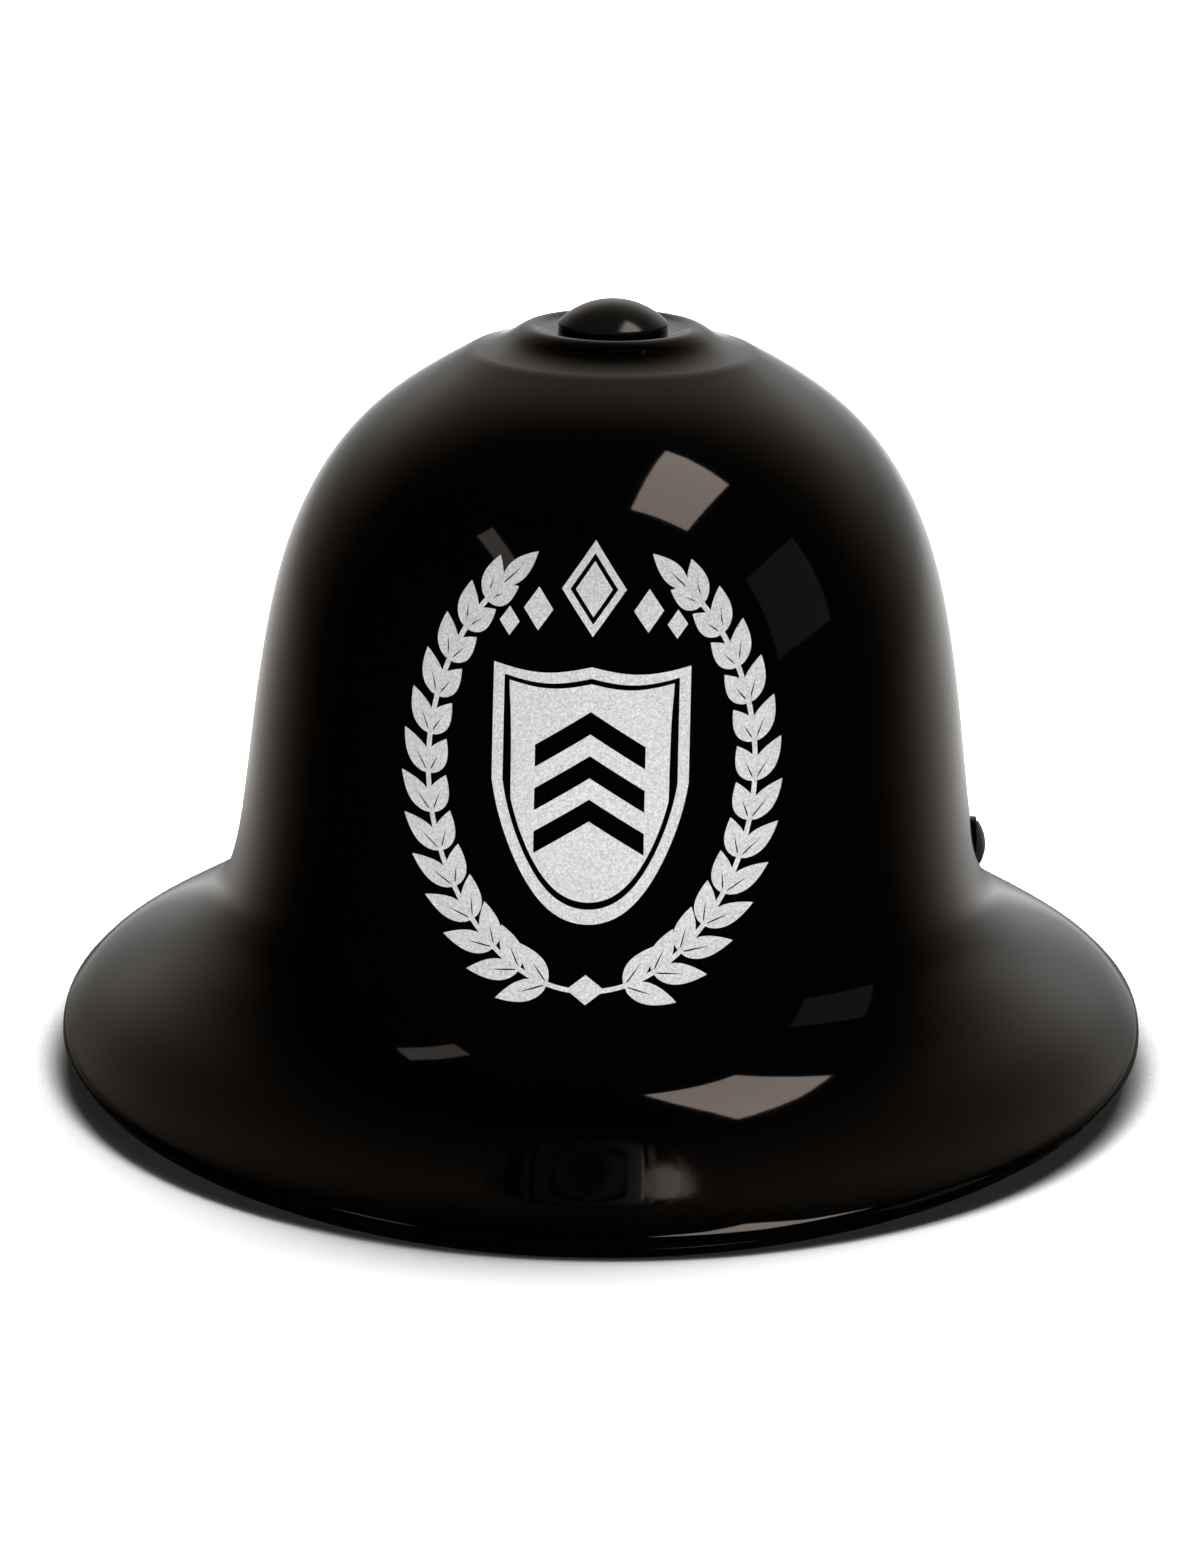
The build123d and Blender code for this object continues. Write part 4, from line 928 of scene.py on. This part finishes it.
def stitch_tree():
    """Geometry nodes that lay a rounded stitch at every pitch along each line of a mesh."""
    tree = bpy.data.node_groups.new("sewn_stitches", "GeometryNodeTree")
    tree.interface.new_socket("Geometry", in_out="INPUT", socket_type="NodeSocketGeometry")
    for name in ("Thread width", "Stitch length", "Pitch"):
        tree.interface.new_socket(name, in_out="INPUT", socket_type="NodeSocketFloat")
    tree.interface.new_socket("Geometry", in_out="OUTPUT", socket_type="NodeSocketGeometry")
    nodes, links = tree.nodes, tree.links
    start, end = nodes.new("NodeGroupInput"), nodes.new("NodeGroupOutput")
    seam = nodes.new("GeometryNodeMeshToCurve")
    places = nodes.new("GeometryNodeCurveToPoints")
    places.mode = "LENGTH"
    stitch = nodes.new("GeometryNodeMeshUVSphere")
    stitch.inputs["Segments"].default_value = 6
    stitch.inputs["Rings"].default_value = 5
    stitch.inputs["Radius"].default_value = 0.5
    stitch_size = nodes.new("ShaderNodeCombineXYZ")
    laid = nodes.new("GeometryNodeInstanceOnPoints")
    real = nodes.new("GeometryNodeRealizeInstances")
    smooth = nodes.new("GeometryNodeSetShadeSmooth")
    dressed = nodes.new("GeometryNodeSetMaterial")
    dressed.inputs["Material"].default_value = thread
    links.new(start.outputs["Geometry"], seam.inputs[0])
    links.new(seam.outputs[0], places.inputs["Curve"])
    links.new(start.outputs["Pitch"], places.inputs["Length"])
    links.new(start.outputs["Thread width"], stitch_size.inputs["X"])
    links.new(start.outputs["Thread width"], stitch_size.inputs["Y"])
    links.new(start.outputs["Stitch length"], stitch_size.inputs["Z"])
    links.new(places.outputs["Points"], laid.inputs["Points"])
    links.new(places.outputs["Rotation"], laid.inputs["Rotation"])
    links.new(stitch.outputs["Mesh"], laid.inputs["Instance"])
    links.new(stitch_size.outputs[0], laid.inputs["Scale"])
    links.new(laid.outputs[0], smooth.inputs[0])
    links.new(smooth.outputs[0], real.inputs[0])
    links.new(real.outputs[0], dressed.inputs[0])
    links.new(dressed.outputs[0], end.inputs[0])
    return tree


sewn_stitches = stitch_tree()


def seam_on_tape(corners, line, origin, right, upward, depth):
    """Points along a seam drawn on a tape by (distance along it, place across it)."""
    origin, right, upward = np.array(origin), np.array(right), np.array(upward)
    along = distances_along(line)
    points = []
    for distance, side in fine_line(corners, SEAM_STEP):
        x, y, nx, ny = (np.interp(distance % along[-1], along, line[:, k]) for k in range(4))
        points.append(origin + right * (x - depth * nx) + upward * (y - depth * ny)
                      + np.cross(right, upward) * side)
    return points


def sew(name, seams, body):
    """One mesh of the stitches along seams, on the body whose tape they hold."""
    points = [point * MM for seam in seams for point in seam]
    edges, first = [], 0
    for seam in seams:
        edges += [(first + k, first + k + 1) for k in range(len(seam) - 1)]
        first += len(seam)
    mesh = bpy.data.meshes.new(f"{name}_seams")
    mesh.from_pydata([tuple(point) for point in points], edges, [])
    seam_lines = bpy.data.objects.new(f"{name}_seams", mesh)
    bpy.context.scene.collection.objects.link(seam_lines)
    modifier = seam_lines.modifiers.new("sewing", "NODES")
    modifier.node_group = sewn_stitches
    sizes = {"Thread width": THREAD_WIDTH, "Stitch length": STITCH_LENGTH, "Pitch": STITCH_PITCH}
    for item in sewn_stitches.interface.items_tree:
        if item.in_out == "INPUT" and item.name in sizes:
            modifier[item.identifier] = sizes[item.name] * MM
    evaluated = seam_lines.evaluated_get(bpy.context.evaluated_depsgraph_get())
    stitches = bpy.data.objects.new(name, bpy.data.meshes.new_from_object(evaluated))
    bpy.context.scene.collection.objects.link(stitches)
    bpy.data.objects.remove(seam_lines)
    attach(stitches, body)


def end_seams(corners, line, plane, thickness):
    """The same seam at both ends of a tape, on both of its faces."""
    return [
        seam_on_tape([(way * distance, side) for distance, side in corners], line, *plane, depth)
        for way in (1, -1) for depth in (-THREAD_PROUD, thickness + THREAD_PROUD)
    ]


near_left, near_right = (CROSS_START, -CROSS_HALF), (CROSS_START, CROSS_HALF)
far_left, far_right = (CROSS_END, -CROSS_HALF), (CROSS_END, CROSS_HALF)
boxed_cross = [near_left, near_right, far_right, far_left, near_left, far_right]
chin_seams = []
for corners in (boxed_cross, [near_right, far_left]):
    chin_seams += end_seams(corners, strap_line, strap_plane, CHIN_TAPE_THICKNESS)
sew("chin_strap_stitches", chin_seams, "chin_strap")
crown_seams = []
for crown_line, crown_plane in crown_tapes:
    for row in CROWN_SEAM_ROWS:
        corners = [(row, -CROWN_SEAM_HALF), (row, CROWN_SEAM_HALF)]
        crown_seams += end_seams(corners, crown_line, crown_plane, CROWN_TAPE_THICKNESS)
sew("crown_strap_stitches", crown_seams, "shell")

# The brow pad, the nape pad and the crown pad are thin foam in a knitted cover, seamed round the edge
# and quilted across so that the foam stays in place. They line the headband and the crown straps.
BAND_HALF_WIDTH = WAIST_HALF_WIDTH - 13.0
BAND_HALF_LENGTH = WAIST_HALF_LENGTH - 12.7
BAND_END_RADIUS = 1.1416 * BAND_HALF_WIDTH**2 / BAND_HALF_LENGTH
BAND_BOTTOM = WAIST_HEIGHT - 23.6
BAND_END_CENTRE = oval_centres(BAND_HALF_WIDTH, BAND_HALF_LENGTH, BAND_END_RADIUS)[0]
LINING_OUTER = BAND_END_RADIUS - 1.9
LINING_THICKNESS = 4.0
LINING_HEIGHT = 19.0
LINING_RISE = 1.0
BACK_ROUND = 0.9
FRONT_SWELL = LINING_THICKNESS - BACK_ROUND
BROW_SPAN, BROW_CHANNEL_STEP = 104.0, 15.0
NAPE_SPAN, NAPE_CHANNEL_STEP = 42.0, 13.0
CHANNELS_EACH_WAY, CHANNEL_END_GAP, CHANNEL_WIDTH = 6, 8, 2.6
LINING_CORNER, LINING_EDGE = 6.0, 3.6
LINING_BARREL_SHARE, LINING_QUILT_SHARE, CROWN_QUILT_SHARE = 0.18, 0.55, 0.5
LINING_STEP, LINING_ROWS = 0.9, 19
CROWN_PAD_RINGS, CROWN_PAD_TURNS = 33, 96
CROWN_PAD_EDGE, CROWN_CHANNEL_RADIUS, CROWN_CHANNEL_WIDTH = 4.0, 15.0, 2.8
PAD_POLE = CROWN_FOOT + oval_centres(CROWN_HALF_WIDTH, CROWN_RISE, CROWN_END_RADIUS)[0]
PAD_OUTER = CROWN_END_RADIUS - CROWN_DROP - 1.5
PAD_ANGLE = math.radians(27.0)
lining = woven_material(
    "lining", roughness=0.9, thread_length=0.9, thread_width=0.6,
    dark=(0.012, 0.012, 0.013), light=(0.07, 0.07, 0.074), bump_distance=0.00025)


def quilted(distance, channels, width):
    """How far the cover stands at a distance: 0 in a quilting channel to 1 away from it."""
    nearest = min((abs(distance - c) for c in channels), default=99.0)
    return 1 - math.exp(-(nearest / width) ** 2)


def swelling(edge, width):
    """How far a pad has swelled at a distance from its seam: 0 at the seam to 1 from width on."""
    share = min(1.0, max(edge, 0.0) / width)
    return math.sqrt(1 - (1 - share) ** 2)


def curved_pad(name, centre_y, middle, span, channel_step):
    """A pad that lines the inside of one of the headband's end arcs."""
    length = LINING_OUTER * math.radians(span / 2)
    channels = np.arange(-CHANNELS_EACH_WAY, CHANNELS_EACH_WAY + 1) * channel_step
    channels = channels[np.abs(channels) < length - CHANNEL_END_GAP]
    columns, rows = math.ceil(2 * length / LINING_STEP), LINING_ROWS
    points = []
    for side in (0, 1):
        for i in range(columns + 1):
            along = -length + 2 * length * i / columns
            spare = max(0.0, LINING_CORNER - (length - abs(along)))
            half = LINING_HEIGHT / 2 - LINING_CORNER
            half += math.sqrt(max(LINING_CORNER**2 - spare**2, 0.04))
            for j in range(rows + 1):
                up = half * math.sin(math.pi * (j / rows - 0.5))
                swell = swelling(min(half - abs(up), length - abs(along)), LINING_EDGE)
                if side:
                    barrel = 1 - LINING_BARREL_SHARE * (1 - math.cos(math.pi * up / LINING_HEIGHT))
                    puff = 1 - LINING_QUILT_SHARE * (1 - quilted(along, channels, CHANNEL_WIDTH))
                    depth = BACK_ROUND + FRONT_SWELL * swell * barrel * puff
                else:
                    depth = BACK_ROUND * (1 - swell)
                angle, radius = middle + along / LINING_OUTER, LINING_OUTER - depth
                points.append((radius * math.cos(angle), centre_y + radius * math.sin(angle),
                               BAND_BOTTOM + LINING_RISE + LINING_HEIGHT / 2 + up))
    across, block = rows + 1, (columns + 1) * (rows + 1)
    faces = grid_faces(columns + 1, across, False)
    faces += [tuple(block + i for i in face) for face in faces]
    rim = [c * across for c in range(columns + 1)]
    rim += [columns * across + r for r in range(1, across)]
    rim += [c * across + rows for c in range(columns - 1, -1, -1)]
    rim += list(range(rows - 1, 0, -1))
    faces += [(a, b, b + block, a + block) for a, b in zip(rim, rim[1:] + rim[:1])]
    return new_piece(name, points, faces, lining)


def crown_pad():
    """The round pad under the crown straps' crossing, with one ring of quilting."""
    points = []
    for side in (0, 1):
        for ring in range(CROWN_PAD_RINGS):
            polar = PAD_ANGLE * math.sin(math.pi / 2 * ring / (CROWN_PAD_RINGS - 1))
            swell = swelling(PAD_OUTER * (PAD_ANGLE - polar), CROWN_PAD_EDGE)
            quilt = quilted(PAD_OUTER * polar, (CROWN_CHANNEL_RADIUS,), CROWN_CHANNEL_WIDTH)
            puff = 1 - CROWN_QUILT_SHARE * (1 - quilt)
            depth = BACK_ROUND + FRONT_SWELL * swell * puff if side else BACK_ROUND * (1 - swell)
            radius = (PAD_OUTER - depth) * math.sin(polar)
            height = PAD_POLE + (PAD_OUTER - depth) * math.cos(polar)
            for k in range(CROWN_PAD_TURNS):
                turn = 2 * math.pi * k / CROWN_PAD_TURNS
                points.append((radius * math.cos(turn), BAND_SETBACK + radius * math.sin(turn), height))
    block = CROWN_PAD_RINGS * CROWN_PAD_TURNS
    faces = grid_faces(CROWN_PAD_RINGS, CROWN_PAD_TURNS, True)
    faces += [tuple(block + i for i in face) for face in faces]
    seam = [block - CROWN_PAD_TURNS + k for k in range(CROWN_PAD_TURNS)]
    faces += [(a, b, block + b, block + a) for a, b in zip(seam, seam[1:] + seam[:1])]
    pad = new_piece("crown_pad_cover", points, faces, lining)
    places = np.array([vertex.co for vertex in pad.data.vertices]) / MM
    set_lay(pad, places * (1, 1, 0))
    return pad


brow_cover = curved_pad(
    "brow_pad_cover", BAND_SETBACK - BAND_END_CENTRE, -math.pi / 2, BROW_SPAN, BROW_CHANNEL_STEP)
nape_cover = curved_pad(
    "nape_pad_cover", BAND_SETBACK + BAND_END_CENTRE, math.pi / 2, NAPE_SPAN, NAPE_CHANNEL_STEP)
for cover, node in (
    (brow_cover, "brow_pad"), (nape_cover, "nape_pad"), (crown_pad(), "crown_pad"),
):
    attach(cover, "shell")
    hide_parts(node)

# The floor is a plain pale table top that keeps the lamps' shadow of the helmet, and a painted contact
# shadow darkens its colour and glow where the gap under the brim closes. Away from the helmet the camera
# sees it plain white. Gloss sees the studio's light through it, with a painted shade near the helmet.
FLOOR_SIZE = 12
FLOOR_WHITE, FLOOR_ROUGHNESS = (0.9, 0.9, 0.9), 0.9
GAP_REACH = 0.16
# Painted contact shadow: how the floor's colour and its glow for the camera ease with occlusion.
PAINTED_GAP_SHADOW = (0.45, 0.97, 0.25, 0.9)
GLOW_BEYOND_PAINTED_SHADOW = (0.76, 1.0, 0.0, 1.0)
# Painted shade seen in gloss: the floor's tint near the helmet, by distance from it.
PAINTED_SHADE_IN_GLOSS = (0.15, 0.34, 0.12, 1.0)


def eased(nodes, links, source, low, high, first, last):
    """Output that eases from first to last while the source goes from low to high."""
    ease = nodes.new("ShaderNodeMapRange")
    ease.interpolation_type = "SMOOTHSTEP"
    for socket, value in zip(("From Min", "From Max", "To Min", "To Max"), (low, high, first, last)):
        ease.inputs[socket].default_value = value
    links.new(source, ease.inputs["Value"])
    return ease.outputs["Result"]


floor_material, floor_shader = new_material("floor_white", FLOOR_WHITE, FLOOR_ROUGHNESS)
floor_nodes, floor_links = floor_material.node_tree.nodes, floor_material.node_tree.links
floor_path = floor_nodes.new("ShaderNodeLightPath")
floor_place = floor_nodes.new("ShaderNodeTexCoord")
floor_reach = floor_nodes.new("ShaderNodeVectorMath")
floor_reach.operation = "LENGTH"
floor_gap = floor_nodes.new("ShaderNodeAmbientOcclusion")
floor_gap.samples = 8
floor_gap.inputs["Distance"].default_value = GAP_REACH
floor_glow = floor_nodes.new("ShaderNodeMath")
floor_glow.operation = "MULTIPLY"
floor_clear = floor_nodes.new("ShaderNodeBsdfTransparent")
floor_mix = floor_nodes.new("ShaderNodeMixShader")
floor_shader.inputs["Emission Color"].default_value = (1, 1, 1, 1)
floor_shader.inputs["Specular IOR Level"].default_value = 0.0
# Painted contact shadow: the floor's colour darkens and its glow fades where occlusion is high.
painted_gap_shadow = eased(floor_nodes, floor_links, floor_gap.outputs["AO"], *PAINTED_GAP_SHADOW)
glow_beyond_painted_shadow = eased(floor_nodes, floor_links, floor_gap.outputs["AO"], *GLOW_BEYOND_PAINTED_SHADOW)
# Painted shade: what gloss sees through the floor is darker the nearer it is to the helmet.
painted_shade_in_gloss = eased(floor_nodes, floor_links, floor_reach.outputs["Value"], *PAINTED_SHADE_IN_GLOSS)
for source, target in (
    (floor_place.outputs["Object"], floor_reach.inputs[0]),
    (painted_gap_shadow, floor_shader.inputs["Base Color"]),
    (glow_beyond_painted_shadow, floor_glow.inputs[0]),
    (floor_path.outputs["Is Camera Ray"], floor_glow.inputs[1]),
    (floor_glow.outputs[0], floor_shader.inputs["Emission Strength"]),
    (painted_shade_in_gloss, floor_clear.inputs["Color"]),
    (floor_path.outputs["Is Glossy Ray"], floor_mix.inputs[0]),
    (floor_shader.outputs[0], floor_mix.inputs[1]),
    (floor_clear.outputs[0], floor_mix.inputs[2]),
    (floor_mix.outputs[0], floor_nodes["Material Output"].inputs["Surface"]),
):
    floor_links.new(source, target)
bpy.ops.mesh.primitive_plane_add(size=FLOOR_SIZE)
floor_plane = bpy.context.object
floor_plane.name = "studio_floor"
floor_plane.data.materials.append(floor_material)

# The camera stands a little to the wearer's left of the front, above the brim. Its lens and its place
# were fitted to the helmet's outline.
TARGET = Vector((0, 0, 0.0845))
CAMERA_DISTANCE = 1.3728
CAMERA_ELEVATION = math.radians(15.04)
CAMERA_TURN = math.radians(2.26)
CAMERA_ROLL = math.radians(0.79)
LENS, SENSOR_WIDTH = 130.42, 36
LENS_SHIFT = (-0.0037, -0.0407)
camera_data = bpy.data.cameras.new("photo_camera")
camera_data.lens, camera_data.sensor_width = LENS, SENSOR_WIDTH
camera_data.shift_x, camera_data.shift_y = LENS_SHIFT
camera = bpy.data.objects.new("photo_camera", camera_data)
bpy.context.scene.collection.objects.link(camera)
camera.location = TARGET + CAMERA_DISTANCE * Vector((
    math.cos(CAMERA_ELEVATION) * math.sin(CAMERA_TURN),
    -math.cos(CAMERA_ELEVATION) * math.cos(CAMERA_TURN),
    math.sin(CAMERA_ELEVATION),
))
aim = (TARGET - camera.location).to_track_quat("-Z", "Y")
camera.rotation_euler = (aim.to_matrix() @ Matrix.Rotation(CAMERA_ROLL, 3, "Z")).to_euler()
bpy.context.scene.camera = camera

# The studio is a dim room with a pale wall behind the helmet. Its light falls off warm to both sides and
# above, and a band of it near the table's level is darker. The camera sees plain white.
WALL_WAY = (0.0576, 0.9983, 0.0)
WALL_LEVEL = 0.96
WALL_FALLOFF = (3.8, 4.2, 4.7)
BAND_DARKER = 0.4
BAND_START = (-0.14, 0.0, 0.0, 1.0)
BAND_END = (0.14, 0.42, 1.0, 0.0)
world = bpy.data.worlds.new("studio_surround")
bpy.context.scene.world = world
world.use_nodes = True
surround, surround_links = world.node_tree.nodes, world.node_tree.links


def surround_math(operation, *values):
    """A Math node of the surround; each value is a number or another node's output."""
    node = surround.new("ShaderNodeMath")
    node.operation = operation
    for socket, value in zip(node.inputs, values):
        if isinstance(value, float):
            socket.default_value = value
        else:
            surround_links.new(value, socket)
    return node.outputs[0]


direction = surround.new("ShaderNodeTexCoord")
facing = surround.new("ShaderNodeVectorMath")
facing.operation = "DOT_PRODUCT"
facing.inputs[1].default_value = WALL_WAY
surround_links.new(direction.outputs["Generated"], facing.inputs[0])
behind = surround_math("MAXIMUM", facing.outputs["Value"], 0.0)
wall_color = surround.new("ShaderNodeCombineColor")
for channel, falloff in zip(("Red", "Green", "Blue"), WALL_FALLOFF):
    surround_links.new(surround_math("POWER", behind, falloff), wall_color.inputs[channel])
split_direction = surround.new("ShaderNodeSeparateXYZ")
surround_links.new(direction.outputs["Generated"], split_direction.inputs[0])
table_band = surround_math("MULTIPLY", *(
    eased(surround, surround_links, split_direction.outputs["Z"], *edge)
    for edge in (BAND_START, BAND_END)
))
wall_dimmed = surround_math("MULTIPLY_ADD", table_band, -BAND_DARKER * WALL_LEVEL, WALL_LEVEL)
wall_light = surround["Background"]
backdrop = surround.new("ShaderNodeBackground")
backdrop.inputs["Color"].default_value = (1, 1, 1, 1)
camera_sees = surround.new("ShaderNodeLightPath")
backdrop_mix = surround.new("ShaderNodeMixShader")
for source, target in (
    (wall_color.outputs[0], wall_light.inputs["Color"]),
    (wall_dimmed, wall_light.inputs["Strength"]),
    (camera_sees.outputs["Is Camera Ray"], backdrop_mix.inputs[0]),
    (wall_light.outputs[0], backdrop_mix.inputs[1]),
    (backdrop.outputs[0], backdrop_mix.inputs[2]),
    (backdrop_mix.outputs[0], surround["World Output"].inputs["Surface"]),
):
    surround_links.new(source, target)

# Three soft panels show only as glints in the gloss. A key from behind and a low fill in front light the
# rest and leave no glint.
PANEL_HEIGHT = 2.05
CEILING_PLACE, CEILING_SIZE, CEILING_TURN = (0.724, -0.084), (0.735, 0.96), -12
CEILING_POWER, CEILING_COLOR = 8.0, (1, 0.84, 0.72)
SIDE_PLACE, SIDE_SIZE, SIDE_TURN = (-1.5, -0.95), (0.33, 0.85), 8
SIDE_POWER, SIDE_COLOR = 0.7, (1, 0.86, 0.76)
WINDOW_PLACE, WINDOW_SIZE = (2.7, -0.35, 1.35), (1.3, 1.2)
WINDOW_POWER, WINDOW_COLOR = 0.6, (0.92, 1, 1)
KEY_PLACE, KEY_SIZE, KEY_POWER = (0.25, 1.42, 2.0), (1.9, 0.62), 92
FILL_PLACE, FILL_SIZE, FILL_POWER = (0.3, -2.4, 0.16), (2.4, 0.2), 60


def light_panel(name, place, aim_at, size, power, color=(1, 1, 1), glint=False, turn=0.0):
    """A rectangular lamp that shows only as a glint in gloss, or lights without one."""
    data = bpy.data.lights.new(name, "AREA")
    data.shape = "RECTANGLE"
    data.size, data.size_y = size
    data.energy = power
    data.color = color
    lamp = bpy.data.objects.new(name, data)
    bpy.context.scene.collection.objects.link(lamp)
    lamp.location = place
    facing_way = (Vector(aim_at) - lamp.location).to_track_quat("-Z", "Y").to_matrix()
    lamp.rotation_euler = (facing_way @ Matrix.Rotation(math.radians(turn), 3, "Z")).to_euler()
    lamp.visible_glossy = glint
    lamp.visible_diffuse = not glint


light_panel(
    "ceiling_panel", (*CEILING_PLACE, PANEL_HEIGHT), (*CEILING_PLACE, 0), CEILING_SIZE,
    CEILING_POWER, CEILING_COLOR, glint=True, turn=CEILING_TURN)
light_panel(
    "side_panel", (*SIDE_PLACE, PANEL_HEIGHT), (*SIDE_PLACE, 0), SIDE_SIZE,
    SIDE_POWER, SIDE_COLOR, glint=True, turn=SIDE_TURN)
light_panel(
    "window_panel", WINDOW_PLACE, TARGET, WINDOW_SIZE, WINDOW_POWER, WINDOW_COLOR, glint=True)
light_panel("back_key", KEY_PLACE, TARGET, KEY_SIZE, KEY_POWER)
light_panel("front_fill", FILL_PLACE, TARGET, FILL_SIZE, FILL_POWER)

bpy.context.scene.view_settings.view_transform = "Standard"
